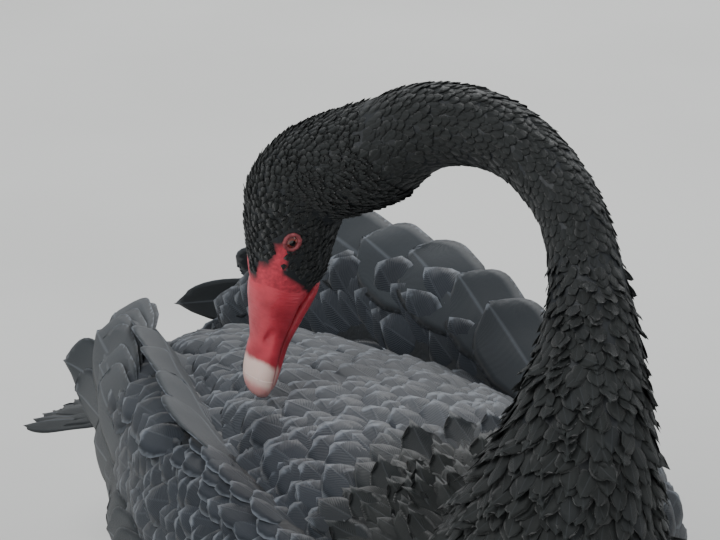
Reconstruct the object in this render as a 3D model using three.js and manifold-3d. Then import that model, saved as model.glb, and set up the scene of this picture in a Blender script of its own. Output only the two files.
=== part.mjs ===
// A black swan afloat on its belly, life size, with its neck arched back to preen its right shoulder.
// Millimetres. +X is the bird's front, +Y its left, +Z up. The origin is under the belly, on the floor.
import * as THREE from 'three';
import { mergeVertices } from 'three/addons/utils/BufferGeometryUtils.js';
import Module from 'manifold-3d';

// Driving dimensions
const GAP = 0.3;                       // clearance between neighbouring pieces
const CLEAR = 0.6;                     // how far a neighbour is grown before it is cut away
const TORSO_SQUARENESS = 2.3;          // exponent of the body's cross-section
const TORSO = [                        // x, half width, lowest z, highest z
  [-300, 24, 112, 146], [-250, 50, 78, 180], [-190, 73, 34, 203], [-110, 100, 4, 220],
  [-20, 124, -3, 230], [70, 133, -4, 230], [140, 128, -1, 216], [195, 108, 22, 196],
  [232, 78, 54, 172], [252, 46, 84, 150], [264, 7, 112, 124],
];
const TORSO_RINGS = 24;
const TORSO_SIDES = 26;

const NECK = [                         // centre line x, y, z and radius, from the chest to the nape
  [196, 0, 140, 60], [213, 0, 192, 57], [222, 4, 233, 51], [217, 16, 271, 39],
  [194.5, 32, 312, 27.5], [171.5, 41, 339.5, 21.5], [150.5, 44, 362, 19.8], [127, 41.5, 378.5, 19.8],
  [100, 33, 391, 21], [74, 19.5, 394.5, 23.2], [50.5, 4, 388.5, 25.8], [32, -9.5, 374, 29],
];
const NECK_CUTS = [0, 0.34, 0.68, 1];  // where the neck's lengths part, as shares of its line
const NECK_SIDES = 24;
const NECK_RINGS = 11;                 // rings in each length of the neck

const BILL_TIP = [-13.4, -69, 227];    // the nail's tip, on the feathers of the back
const HEAD_FORWARD = [-0.071, -0.204, -0.976];
const HEAD_DORSAL = [0.196, -0.969, 0.149];
const HEAD_SIDES = 24;
const HEAD_RINGS = 18;
const HEAD = [                         // distance behind the bill's tip, dorsal, ventral, half width
  [66.6, 14.2, -23.5, 15.2], [72, 16.5, -27, 17.5], [80, 19.5, -29.5, 19.5], [90, 23, -30, 21.5],
  [100, 26, -30, 23.5], [112, 28, -31, 25], [124, 28, -33, 25.5],
];
const HEAD_BEND = 14;                  // how far before the skull's end it starts to bend into the nape
const HEAD_BEND_REACH = 0.42;          // length of the bend's handles, as a share of its span
const NAPE_SWELL = [3.5, 1.5];         // how much taller and wider the bend is than a straight taper
const EYE_BACK = 97;
const EYE_DORSAL = 12;
const EYE_OUT = 15.8;
const EYE_RADIUS = 6.6;
const LID_RING = 5.9;
const LID_TUBE = 1.7;
const LID_OUT = 4.2;                   // how far the lid stands outside the eye's centre

const UPPER_BILL = [                   // distance behind the tip, top, lip, half width
  [0.6, -4.6, -8, 3.2], [3, -1.2, -8.2, 7.4], [8, 1.8, -8, 10.6], [15, 3.8, -7.8, 11.8],
  [24, 4.6, -7.8, 11.8], [36, 5.8, -8.8, 11.8], [50, 9.8, -11.6, 13.4], [60, 13, -14.2, 14.8],
  [66.2, 14.2, -17, 15.1],
];
const LOWER_BILL = [                   // distance behind the tip, lip, chin, half width
  [4, -8.5, -10.6, 5.4], [9, -8.4, -11.8, 8.8], [18, -8.2, -12.8, 10], [34, -9.2, -14.6, 10.4],
  [50, -12.1, -19.6, 12.2], [60, -14.8, -22.4, 13.6], [66.2, -17.6, -23.4, 14],
];
const NAIL_BACK = 13;                  // length of the nail at the bill's end
const BILL_SIDES = 20;
const BILL_MIDDLE = 0.32;              // height of the widest place above the flat side
const BILL_ROOM = 2;                   // space left round the bill among the feathers
const NOSTRIL = { back: 37, dorsal: 3.2, out: 9.2, length: 5.6, height: 1.9, depth: 3 };

// x, middle y, middle z, half thickness, half height of the left wing, then of the lowered right wing
const WING_LEFT = [
  [172, 86, 150, 3, 6], [152, 94, 150, 20, 36], [112, 102, 150, 33, 56], [60, 107, 151, 38, 68],
  [0, 109, 154, 40, 80], [-60, 107, 158, 41, 86], [-125, 101, 162, 40, 88], [-190, 89, 164, 36, 80],
  [-240, 73, 162, 28, 60], [-285, 57, 158, 17, 36], [-308, 50, 156, 4, 9],
];
const WING_RIGHT = [
  [172, 86, 150, 3, 6], [152, 94, 150, 20, 36], [112, 102, 146, 33, 54], [60, 106, 144, 38, 64],
  [0, 103, 143, 38, 70], [-60, 91, 143, 36, 72], [-125, 73, 143, 33, 68], [-190, 55, 143, 29, 58],
  [-240, 39, 143, 23, 45], [-285, 27, 142, 15, 28], [-308, 21, 140, 4, 8],
];
const wingRows = (side) => (side > 0 ? WING_LEFT : WING_RIGHT);
const WING_RINGS = 13;
const WING_SIDES = 16;
const WING_MIDLINE = 4;                // how far each wing stays from the bird's middle plane

const TAIL_ROOT = [-286, 0, 127];
const TAIL_BASE = [                    // x, half width, half height round the root
  [-262, 20, 12], [-285, 28, 12], [-305, 29, 9], [-318, 20, 4],
];
const TAIL_SIDES = 16;

const FOOT_HEEL = [-150, 62];
const LEG_THICKNESS = 6.5;             // half the width of the lower leg
const LEG_LINE = [                     // ahead of the heel, outside it, height, from the body down
  [92, 12, 40], [56, 8, 22], [24, 3, 10.5], [4.6, 0, 7.2],
];
const LEG_RINGS = 8;
const LEG_SIDES = 12;
const FOOT_LENGTH = 104;
const FOOT_SPREAD = 0.2;               // half angle of the folded toes, in radians
const WEB_THICKNESS = 3.2;
const WEB_HEEL = 7;                    // half the web's width at the heel
const TOE_SPREAD = 1.15;               // the outer toes' angle against the web's
const OUTER_TOE = 0.88;                // the outer toes' length against the middle one's
const TOE_SIDES = 8;
const TOE_RADIUS = 4.2;
const TOE_SIZES = [                    // place along the toe, share of its radius, thicker at the joints
  [-0.04, 0.7], [0, 1], [0.3, 0.9], [0.33, 1.05], [0.62, 0.82], [0.66, 0.95], [0.92, 0.6], [1, 0.25],
];

const VANE_RINGS = [0, 0.42, 0.8, 1];   // places along a vane
const VANE_WIDTHS = [0.55, 1, 0.86, 0.34];  // share of its full width there
const VANE_CAMBER = 0.09;              // how far its edges drop, as a share of the width
const VANE_THICKNESS = [1.8, 0.8];     // at the root and at the tip
const ROOT_DEPTH = 4;                  // how deep a root is sunk
const WING_TIERS = [
  // count, x from-to, degrees round the wing from-to, length, width, lift, curl and turn of each tier
  [4, [-196, -232], [-14, 30], [168, 150], [27, 30], 0.05, -0.12, 0.02],
  [6, [70, -178], [-34, -24], [92, 116], [38, 36], 0.1, -0.16, -0.2],
  [6, [112, -150], [2, 2], [66, 84], [38, 42], 0.13, -0.18, -0.12],
  [5, [-96, -206], [34, 64], [130, 126], [50, 50], 0.09, -0.06, 0.02],
  [5, [100, -130], [46, 62], [72, 92], [46, 52], 0.12, -0.2, -0.06],
  [4, [20, -150], [112, 118], [80, 84], [48, 52], 0.06, -0.05, -0.12],
];
const ROUND_VARIES = 3;                // how far a feather strays round the wing, in degrees
const SIZE_VARIES = 0.06;              // how far its size strays, as a share
const BEND_VARIES = 0.2;
const TURN_VARIES = 0.06;
const RUFFLED = [
  // side, x, degrees round, length, width, lift, curl and turn of each raised, curled feather
  [1, -266, 48, 84, 48, 0.22, 0.55, 0.1],
  [-1, -238, 6, 88, 46, 0.15, 0.45, 0.05],
  [-1, -224, -16, 94, 46, 0.12, 0.36, 0],
  [-1, -192, -50, 62, 44, 0.06, 0.15, -0.05],
];
const TAIL_VANES = {
  count: 9, fan: 0.44, length: 122, shorter: 14, varies: 4, width: 36, lift: 0.02, curl: -0.1,
  droop: 0.27, spread: 17, rise: 4, step: 2.8, roll: 0.12,
};

// Colours
const SLATE = 0x3c4248;
const NECK_BLACK = 0x1e2220;
const BILL_RED = 0xc43a34;
const NAIL_WHITE = 0xe9d3cf;
const LEG_GREY = 0x26272a;
const EYE_DARK = 0x2a0f0c;

const wasm = await Module();
wasm.setup();

// Cubic through the values of rows that start with the place they stand for
function along(rows, at) {
  let i = 0;
  while (i < rows.length - 2 && (at - rows[i + 1][0]) * Math.sign(rows[1][0] - rows[0][0]) > 0) i += 1;
  const [here, next] = [rows[i], rows[i + 1]];
  const before = rows[Math.max(i - 1, 0)];
  const after = rows[Math.min(i + 2, rows.length - 1)];
  const span = next[0] - here[0];
  const t = THREE.MathUtils.clamp((at - here[0]) / span, 0, 1);
  return here.slice(1).map((value, k) => {
    const leave = (next[k + 1] - before[k + 1]) / (next[0] - before[0]) * span;
    const arrive = (after[k + 1] - value) / (after[0] - here[0]) * span;
    return (2 * t ** 3 - 3 * t ** 2 + 1) * value + (t ** 3 - 2 * t ** 2 + t) * leave
      + (3 * t ** 2 - 2 * t ** 3) * next[k + 1] + (t ** 3 - t ** 2) * arrive;
  });
}

// Closed skin over rings of equal count, with a flat fan over each end
function loft(rings) {
  const sides = rings[0].length;
  const points = rings.flat();
  const faces = [];
  for (let r = 0; r < rings.length - 1; r += 1) {
    for (let s = 0; s < sides; s += 1) {
      const [a, b] = [r * sides + s, r * sides + (s + 1) % sides];
      faces.push(a, b, b + sides, a, b + sides, a + sides);
    }
  }
  for (const [ring, flip] of [[0, true], [rings.length - 1, false]]) {
    const middle = new THREE.Vector3();
    for (const p of rings[ring]) middle.addScaledVector(p, 1 / sides);
    points.push(middle);
    for (let s = 0; s < sides; s += 1) {
      const [a, b] = [ring * sides + s, ring * sides + (s + 1) % sides];
      faces.push(...(flip ? [b, a, points.length - 1] : [a, b, points.length - 1]));
    }
  }
  return solid(points, faces);
}

// Manifold of points and faces, turned the right way out
function solid(points, faces) {
  let volume = 0;
  for (let f = 0; f < faces.length; f += 3) {
    volume += points[faces[f]].dot(points[faces[f + 1]].clone().cross(points[faces[f + 2]]));
  }
  const turned = volume < 0 ? faces.slice().reverse() : faces;
  return new wasm.Manifold(new wasm.Mesh({
    numProp: 3,
    vertProperties: new Float32Array(points.flatMap((p) => [p.x, p.y, p.z])),
    triVerts: new Uint32Array(turned),
  }));
}

// Manifold of one of three.js's own closed shapes
function fromGeometry(geometry) {
  const bare = geometry.index ? geometry.clone() : geometry;
  bare.deleteAttribute('normal');
  bare.deleteAttribute('uv');
  const merged = mergeVertices(bare, 1e-4);
  return new wasm.Manifold(new wasm.Mesh({
    numProp: 3,
    vertProperties: new Float32Array(merged.attributes.position.array),
    triVerts: new Uint32Array(merged.index.array),
  }));
}

function largest(shape) {
  const pieces = shape.decompose();
  return pieces.reduce((best, piece) => (piece.volume() > best.volume() ? piece : best));
}

// Repeatable random numbers from 0 to 1
let seed = 20;
function random() {
  seed = (seed * 1664525 + 1013904223) % 4294967296;
  return seed / 4294967296;
}

// One feather vane: it leaves the root along `ahead`, bends towards the normal by `curl` and tapers
function vane({ root, ahead, normal, length, width, lift, curl }) {
  const start = ahead.clone().multiplyScalar(Math.cos(lift)).addScaledVector(normal, Math.sin(lift));
  const up = normal.clone().multiplyScalar(Math.cos(lift)).addScaledVector(ahead, -Math.sin(lift));
  const side = start.clone().cross(up).normalize();
  const bend = Math.abs(curl) < 1e-3 ? 1e-3 : curl;
  const points = [];
  VANE_RINGS.forEach((share, i) => {
    const centre = root.clone()
      .addScaledVector(start, length * Math.sin(bend * share) / bend)
      .addScaledVector(up, length * (1 - Math.cos(bend * share)) / bend);
    const face = up.clone().multiplyScalar(Math.cos(bend * share))
      .addScaledVector(start, -Math.sin(bend * share));
    const half = width * VANE_WIDTHS[i] / 2;
    const thick = THREE.MathUtils.lerp(...VANE_THICKNESS, share) / 2;
    for (const layer of [thick, -thick]) {
      for (const edge of [-1, 0, 1]) {
        points.push(centre.clone().addScaledVector(side, edge * half)
          .addScaledVector(face, layer - Math.abs(edge) * half * 2 * VANE_CAMBER));
      }
    }
  });
  const faces = [];
  const quad = (a, b, c, d) => faces.push(a, b, c, a, c, d);
  for (let r = 0; r < VANE_RINGS.length - 1; r += 1) {
    const [a, b] = [r * 6, r * 6 + 6];
    for (const k of [0, 1]) {
      quad(a + k, a + k + 1, b + k + 1, b + k);
      // the lower face is split along the same diagonal as the upper one
      faces.push(a + k + 3, b + k + 4, a + k + 4, a + k + 3, b + k + 3, b + k + 4);
    }
    quad(a, b, b + 3, a + 3);
    quad(a + 5, b + 5, b + 2, a + 2);
  }
  const tip = (VANE_RINGS.length - 1) * 6;
  for (const k of [0, 1]) {
    quad(k + 1, k, k + 3, k + 4);
    quad(tip + k, tip + k + 1, tip + k + 4, tip + k + 3);
  }
  return solid(points, faces);
}

const power = (value) => Math.sign(value) * Math.abs(value) ** (2 / TORSO_SQUARENESS);

function torsoRings(grow) {
  const [rear, front] = [TORSO[0][0], TORSO.at(-1)[0]];
  const rings = [];
  for (let i = 0; i < TORSO_RINGS; i += 1) {
    // rings stand closer at both rounded ends
    const share = (1 - Math.cos(Math.PI * i / (TORSO_RINGS - 1))) / 2;
    const x = rear + (front - rear) * share;
    const [half, low, high] = along(TORSO, x);
    const ring = [];
    for (let s = 0; s < TORSO_SIDES; s += 1) {
      const angle = 2 * Math.PI * (s + 0.5) / TORSO_SIDES;
      const y = (half + grow) * power(Math.cos(angle));
      const z = (low + high) / 2 + ((high - low) / 2 + grow) * power(Math.sin(angle));
      ring.push(new THREE.Vector3(x + grow * (2 * share - 1), y, Math.max(z, grow > 0 ? z : 0)));
    }
    rings.push(ring);
  }
  return rings;
}
const torsoCutter = loft(torsoRings(CLEAR));

// Neck: one smooth line, parted square to itself
const neckPoints = NECK.map(([x, y, z]) => new THREE.Vector3(x, y, z));
const neckLine = new THREE.CatmullRomCurve3(neckPoints, false, 'centripetal');
neckLine.arcLengthDivisions = 400;
const neckLength = neckLine.getLength();
const neckRadii = NECK.map((n, i) => [i / (NECK.length - 1), n[3]]);

function neckRing(share, offset, grow) {
  const t = neckLine.getUtoTmapping(THREE.MathUtils.clamp(share + offset / neckLength, 0, 1));
  const centre = neckLine.getPoint(t);
  const ahead = neckLine.getTangent(t);
  const dorsal = new THREE.Vector3(...HEAD_DORSAL).projectOnPlane(ahead).normalize();
  const side = dorsal.clone().cross(ahead).normalize();
  const radius = along(neckRadii, t)[0] + grow;
  const ring = [];
  for (let s = 0; s < NECK_SIDES; s += 1) {
    const angle = 2 * Math.PI * s / NECK_SIDES;
    ring.push(centre.clone().addScaledVector(dorsal, radius * Math.cos(angle))
      .addScaledVector(side, radius * Math.sin(angle)));
  }
  return ring;
}

function neckPiece(from, to, grow = 0) {
  const rings = [];
  for (let i = 0; i < NECK_RINGS; i += 1) {
    const share = from + (to - from) * i / (NECK_RINGS - 1);
    const offset = i === 0 ? GAP / 2 : i === NECK_RINGS - 1 ? -GAP / 2 : 0;
    rings.push(neckRing(share, offset, grow));
  }
  return loft(rings);
}

// Head frame: back along the bill, dorsal and out to the head's left, measured from the bill's tip
const forward = new THREE.Vector3(...HEAD_FORWARD).normalize();
const dorsal = new THREE.Vector3(...HEAD_DORSAL).projectOnPlane(forward).normalize();
const outward = dorsal.clone().cross(forward).normalize();
const headPoint = (back, up, out) => new THREE.Vector3(...BILL_TIP)
  .addScaledVector(forward, -back).addScaledVector(dorsal, up).addScaledVector(outward, out);

function headRings() {
  // the skull runs straight back from the bill, then bends round into the nape
  const straightEnd = HEAD.at(-1)[0];
  const rings = [];
  const straight = Math.round(HEAD_RINGS * 0.55);
  for (let i = 0; i < straight; i += 1) {
    const back = HEAD[0][0] + (straightEnd - HEAD_BEND - HEAD[0][0]) * i / (straight - 1);
    const [up, down, half] = along(HEAD, back);
    rings.push(headRing(headPoint(back, (up + down) / 2, 0), forward, dorsal, (up - down) / 2, half));
  }
  const last = HEAD.at(-1);
  const bendStart = headPoint(straightEnd - HEAD_BEND, (last[1] + last[2]) / 2 + 1, 0);
  const neckEnd = neckLine.getPoint(1);
  const neckAhead = neckLine.getTangent(1);
  const reach = bendStart.distanceTo(neckEnd) * HEAD_BEND_REACH;
  const bend = new THREE.CubicBezierCurve3(bendStart, bendStart.clone().addScaledVector(forward, -reach),
    neckEnd.clone().addScaledVector(neckAhead, reach), neckEnd.clone().addScaledVector(neckAhead, GAP / 2));
  const [, , , endRadius] = NECK.at(-1);
  const count = HEAD_RINGS - straight;
  for (let i = 1; i <= count; i += 1) {
    const t = i / count;
    const ease = t * t * (3 - 2 * t);
    const ahead = i === count ? neckAhead : bend.getTangent(t).negate();
    const up = dorsal.clone().projectOnPlane(ahead).normalize();
    const [taller, wider] = NAPE_SWELL.map((swell) => swell * Math.sin(Math.PI * t));
    const tall = THREE.MathUtils.lerp((last[1] - last[2]) / 2, endRadius, ease) + taller;
    const wide = THREE.MathUtils.lerp(last[3], endRadius, ease) + wider;
    rings.push(headRing(bend.getPoint(t), ahead, up, tall, wide));
  }
  return rings;
}

function headRing(centre, ahead, up, tall, wide) {
  const side = up.clone().cross(ahead).normalize();
  const ring = [];
  for (let s = 0; s < HEAD_SIDES; s += 1) {
    const angle = 2 * Math.PI * s / HEAD_SIDES;
    ring.push(centre.clone().addScaledVector(up, tall * Math.cos(angle))
      .addScaledVector(side, wide * Math.sin(angle)));
  }
  return ring;
}

function placed(geometry, centre, axis) {
  // turns the shape's own +Z to the axis and moves it to the centre
  const turn = new THREE.Quaternion().setFromUnitVectors(new THREE.Vector3(0, 0, 1), axis);
  return geometry.applyQuaternion(turn).translate(centre.x, centre.y, centre.z);
}

const eyeCentre = (side) => headPoint(EYE_BACK, EYE_DORSAL, side * EYE_OUT);
const eyeBall = (side, grow) => fromGeometry(placed(new THREE.SphereGeometry(EYE_RADIUS + grow, 16, 10),
  eyeCentre(side), outward));

function headSolid() {
  let head = loft(headRings());
  for (const side of [1, -1]) {
    const rim = eyeCentre(side).addScaledVector(outward, side * LID_OUT);
    const lid = new THREE.TorusGeometry(LID_RING, LID_TUBE, 6, 16).scale(1, 1, 0.9);
    head = head.add(fromGeometry(placed(lid, rim, outward)));
    head = head.subtract(eyeBall(side, GAP));
  }
  return largest(head);
}

// Bill: half-round above the lip, a shallow trough below it
function billRing(back, top, bottom, half, roundTop) {
  const ring = [];
  for (let s = 0; s < BILL_SIDES; s += 1) {
    const angle = 2 * Math.PI * s / BILL_SIDES;
    const level = Math.cos(angle);
    const above = (top - bottom) * BILL_MIDDLE;
    const middle = roundTop ? bottom + above : top - above;
    const height = level > 0 ? top - middle : middle - bottom;
    const width = Math.sign(Math.sin(angle)) * Math.abs(Math.sin(angle)) ** 0.8;
    ring.push(headPoint(back, middle + height * Math.sign(level) * Math.abs(level) ** 0.9, half * width));
  }
  return ring;
}

function billSolid(rows, roundTop, from, to, count) {
  const rings = [];
  for (let i = 0; i < count; i += 1) {
    const back = from + (to - from) * i / (count - 1);
    rings.push(billRing(back, ...along(rows, back), roundTop));
  }
  return loft(rings);
}

function upperBill() {
  let bill = billSolid(UPPER_BILL, true, NAIL_BACK + GAP, UPPER_BILL.at(-1)[0], 13);
  for (const side of [1, -1]) {
    const pit = new THREE.SphereGeometry(1, 10, 8)
      .scale(NOSTRIL.height, NOSTRIL.length, NOSTRIL.depth);
    pit.applyMatrix4(new THREE.Matrix4().makeBasis(dorsal, forward, outward));
    const at = headPoint(NOSTRIL.back, NOSTRIL.dorsal, side * NOSTRIL.out);
    bill = bill.subtract(fromGeometry(pit.translate(at.x, at.y, at.z)));
  }
  return largest(bill);
}

// Room left round the bill where it rests among the feathers
function billRoom() {
  const rings = UPPER_BILL.map(([back, top, , half]) => {
    const chin = along(LOWER_BILL, Math.max(back, LOWER_BILL[0][0]))[1];
    const centre = headPoint(back - 2, (top + chin) / 2, 0);
    return headRing(centre, forward, dorsal, (top - chin) / 2 + BILL_ROOM, half + BILL_ROOM);
  });
  return loft(rings);
}

// Wing: a shield over the flank, cut to lie on the body
function wingCore(side) {
  const rows = wingRows(side);
  const [front, rear] = [rows[0][0], rows.at(-1)[0]];
  const rings = [];
  for (let i = 0; i < WING_RINGS; i += 1) {
    const share = (1 - Math.cos(Math.PI * i / (WING_RINGS - 1))) / 2;
    const x = front + (rear - front) * share;
    const [y, z, thick, tall] = along(rows, x);
    const ring = [];
    for (let s = 0; s < WING_SIDES; s += 1) {
      const angle = 2 * Math.PI * s / WING_SIDES;
      ring.push(new THREE.Vector3(x, side * (y + thick * Math.cos(angle)), z + tall * Math.sin(angle)));
    }
    rings.push(ring);
  }
  return loft(rings);
}

// Point of the wing's surface, with the way out and the way back along it
function wingSkin(side, x, degrees) {
  const angle = THREE.MathUtils.degToRad(degrees);
  const at = (place, turn) => {
    const [y, z, thick, tall] = along(wingRows(side), place);
    return new THREE.Vector3(place, side * (y + thick * Math.cos(turn)), z + tall * Math.sin(turn));
  };
  const point = at(x, angle);
  const back = at(x - 1, angle).sub(at(x + 1, angle)).normalize();
  const round = at(x, angle + 0.02).sub(at(x, angle - 0.02)).normalize();
  const normal = back.clone().cross(round).normalize();
  if (normal.y * side * Math.cos(angle) + normal.z * Math.sin(angle) < 0) normal.negate();
  return { point, normal, back, round };
}

function wingVane(side, x, round, length, width, lift, curl, turn) {
  const skin = wingSkin(side, x, round);
  const ahead = skin.back.multiplyScalar(Math.cos(turn))
    .addScaledVector(skin.round, Math.sin(turn)).normalize();
  const normal = skin.normal.projectOnPlane(ahead).normalize();
  const root = skin.point.addScaledVector(normal, -ROOT_DEPTH).addScaledVector(ahead, -ROOT_DEPTH);
  return vane({ root, ahead, normal, length, width, lift, curl });
}

function wingFeathers(side) {
  const vanes = [];
  const vary = (amount) => 1 + amount * (2 * random() - 1);
  for (const [count, x, round, length, width, lift, curl, turn] of WING_TIERS) {
    for (let i = 0; i < count; i += 1) {
      const between = (ends) => THREE.MathUtils.lerp(...ends, i / (count - 1));
      vanes.push(wingVane(side, between(x), between(round) + ROUND_VARIES * (random() - 0.5),
        between(length) * vary(SIZE_VARIES), between(width) * vary(SIZE_VARIES),
        lift * vary(BEND_VARIES), curl * vary(BEND_VARIES), turn + TURN_VARIES * (random() - 0.5)));
    }
  }
  const raised = RUFFLED.filter(([own]) => own === side);
  vanes.push(...raised.map((feather) => wingVane(...feather)));
  return vanes;
}

function wingSolid(side) {
  const otherHalf = fromGeometry(new THREE.BoxGeometry(2000, 1000, 2000)
    .translate(0, side * (WING_MIDLINE - 500), 0));
  let wing = wingCore(side);
  for (const feather of wingFeathers(side)) wing = wing.add(feather);
  for (const neighbour of [torsoCutter, otherHalf, neckCutter, billRoom(), tailRoom]) {
    wing = wing.subtract(neighbour);
  }
  return largest(wing);
}

function tailSolid() {
  const rings = TAIL_BASE.map(([x, half, tall]) => {
    const ring = [];
    for (let s = 0; s < TAIL_SIDES; s += 1) {
      const angle = 2 * Math.PI * s / TAIL_SIDES;
      ring.push(new THREE.Vector3(x, half * Math.cos(angle), TAIL_ROOT[2] + tall * Math.sin(angle)));
    }
    return ring;
  });
  let tail = loft(rings);
  const { count, fan, varies, width, lift, curl, droop, spread, rise, step, roll } = TAIL_VANES;
  const middle = (count - 1) / 2;
  for (let i = 0; i < count; i += 1) {
    const share = (i - middle) / middle;
    const angle = share * fan;
    const ahead = new THREE.Vector3(-Math.cos(angle), Math.sin(angle), -droop).normalize();
    const normal = new THREE.Vector3(0, roll * share, 1).projectOnPlane(ahead).normalize();
    const root = new THREE.Vector3(TAIL_ROOT[0], spread * share,
      TAIL_ROOT[2] + rise - step * Math.abs(i - middle));
    const length = TAIL_VANES.length - TAIL_VANES.shorter * share ** 2 + varies * (random() - 0.5);
    tail = tail.add(vane({ root, ahead, normal, length, width, lift, curl }));
  }
  return largest(tail.subtract(torsoCutter));
}

// Leg and foot, folded back along the belly with the web closed
function footSolid(side) {
  const [heelX, heelY] = FOOT_HEEL;
  const web = new THREE.Shape();
  // the web is widest four fifths of the way and hollow-edged between the toes
  const [wideAt, hollowAt, tipAt] = [0.8, 0.86, 0.92].map((share) => FOOT_LENGTH * share);
  const half = FOOT_LENGTH * FOOT_SPREAD;
  web.moveTo(0, -WEB_HEEL);
  web.lineTo(wideAt, -half);
  web.quadraticCurveTo(hollowAt, -half / 2, tipAt, 0);
  web.quadraticCurveTo(hollowAt, half / 2, wideAt, half);
  web.lineTo(0, WEB_HEEL);
  web.closePath();
  const plate = new THREE.ExtrudeGeometry(web, {
    depth: WEB_THICKNESS, bevelEnabled: false, curveSegments: 4,
  });
  plate.rotateZ(Math.PI).translate(heelX, side * heelY, 0);
  let foot = fromGeometry(plate);
  for (const spread of [-1, 0, 1]) {
    const angle = spread * FOOT_SPREAD * TOE_SPREAD;
    const length = FOOT_LENGTH * (spread === 0 ? 1 : OUTER_TOE);
    const rings = TOE_SIZES.map(([share, size]) => {
      const radius = TOE_RADIUS * size;
      const x = heelX - Math.cos(angle) * length * share;
      const y = side * heelY + Math.sin(angle) * length * share;
      const ring = [];
      for (let s = 0; s < TOE_SIDES; s += 1) {
        const turn = 2 * Math.PI * (s + 0.5) / TOE_SIDES;
        const height = radius * (0.92 + Math.sin(turn));
        ring.push(new THREE.Vector3(x, y + radius * Math.cos(turn), Math.max(0, height)));
      }
      return ring;
    });
    foot = foot.add(loft(rings));
  }
  return largest(foot);
}

function legSolid(side) {
  const [heelX, heelY] = FOOT_HEEL;
  const line = new THREE.CatmullRomCurve3(LEG_LINE.map(([ahead, out, height]) => (
    new THREE.Vector3(heelX + ahead, side * (heelY + out), height))));
  const rings = [];
  for (let i = 0; i < LEG_RINGS; i += 1) {
    const centre = line.getPoint(i / (LEG_RINGS - 1));
    const ring = [];
    for (let s = 0; s < LEG_SIDES; s += 1) {
      const turn = 2 * Math.PI * s / LEG_SIDES;
      const offset = new THREE.Vector3(0, Math.cos(turn), Math.sin(turn));
      ring.push(centre.clone().addScaledVector(offset, LEG_THICKNESS));
    }
    rings.push(ring);
  }
  return loft(rings);
}

const neckCutter = neckPiece(NECK_CUTS[0], NECK_CUTS[1], CLEAR);
const tail = tailSolid();
// the wings end where the tail's fan passes between them
const tailRoom = wasm.Manifold.hull([-CLEAR, CLEAR].flatMap((d) => (
  [tail.translate(d, 0, 0), tail.translate(0, d, 0), tail.translate(0, 0, d)])));

const swan = new THREE.Group();

function add(name, shape, color, roughness) {
  const mesh = shape.getMesh();
  const geometry = new THREE.BufferGeometry();
  geometry.setAttribute('position', new THREE.BufferAttribute(Float32Array.from(mesh.vertProperties), 3));
  geometry.setIndex(new THREE.BufferAttribute(Uint32Array.from(mesh.triVerts), 1));
  const material = new THREE.MeshStandardMaterial({ color, roughness, metalness: 0 });
  const piece = new THREE.Mesh(geometry, material);
  piece.name = name;
  swan.add(piece);
}

const torso = loft(torsoRings(0));
add('torso', torso, SLATE, 0.75);
add('neck_lower', largest(neckPiece(NECK_CUTS[0], NECK_CUTS[1]).subtract(torsoCutter)), NECK_BLACK, 0.7);
add('neck_middle', neckPiece(NECK_CUTS[1], NECK_CUTS[2]), NECK_BLACK, 0.7);
add('neck_upper', neckPiece(NECK_CUTS[2], NECK_CUTS[3]), NECK_BLACK, 0.7);
add('head', headSolid(), NECK_BLACK, 0.65);
for (const [name, side] of [['left', 1], ['right', -1]]) {
  add(`eye_${name}`, eyeBall(side, 0), EYE_DARK, 0.1);
  add(`wing_${name}`, wingSolid(side), SLATE, 0.75);
  add(`foot_${name}`, footSolid(side), LEG_GREY, 0.6);
  add(`leg_${name}`, largest(legSolid(side).subtract(torsoCutter)), LEG_GREY, 0.6);
}
add('bill_upper', upperBill(), BILL_RED, 0.35);
add('bill_nail', billSolid(UPPER_BILL, true, UPPER_BILL[0][0], NAIL_BACK, 7), NAIL_WHITE, 0.35);
add('bill_lower', billSolid(LOWER_BILL, false, LOWER_BILL[0][0], LOWER_BILL.at(-1)[0], 11), BILL_RED, 0.4);
add('tail', tail, SLATE, 0.75);

export default swan;
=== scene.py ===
# A black swan afloat and preening: skin, feathers, bill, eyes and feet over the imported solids.
# Metres. +X is the bird's front, +Y its left, +Z up.
import math

import bpy
import numpy as np
from mathutils import Matrix, Vector
from mathutils.bvhtree import BVHTree
from mathutils.kdtree import KDTree


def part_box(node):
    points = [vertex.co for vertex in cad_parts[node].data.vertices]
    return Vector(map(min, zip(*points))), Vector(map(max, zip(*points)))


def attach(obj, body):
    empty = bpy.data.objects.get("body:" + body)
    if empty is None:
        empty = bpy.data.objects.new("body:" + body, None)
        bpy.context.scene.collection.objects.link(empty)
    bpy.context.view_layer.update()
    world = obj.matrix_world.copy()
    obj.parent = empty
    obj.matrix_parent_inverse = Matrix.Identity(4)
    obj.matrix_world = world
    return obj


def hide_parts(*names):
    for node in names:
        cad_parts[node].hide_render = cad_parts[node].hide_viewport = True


bl_info = {
    "name": "Preening black swan",
    "version": (1, 0, 0),
    "blender": (4, 5, 0),
    "location": "3D View > Sidebar > Swan",
    "description": "Builds the skin, feathers, bill, eyes and feet of a black swan afloat",
    "category": "Object",
}

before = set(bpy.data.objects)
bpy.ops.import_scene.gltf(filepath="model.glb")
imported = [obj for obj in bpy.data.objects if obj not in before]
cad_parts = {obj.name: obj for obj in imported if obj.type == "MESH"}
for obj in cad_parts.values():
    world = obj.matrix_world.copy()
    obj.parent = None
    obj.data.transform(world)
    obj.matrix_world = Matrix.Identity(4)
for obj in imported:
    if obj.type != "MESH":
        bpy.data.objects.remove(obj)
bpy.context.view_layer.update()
MM = 0.001

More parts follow.
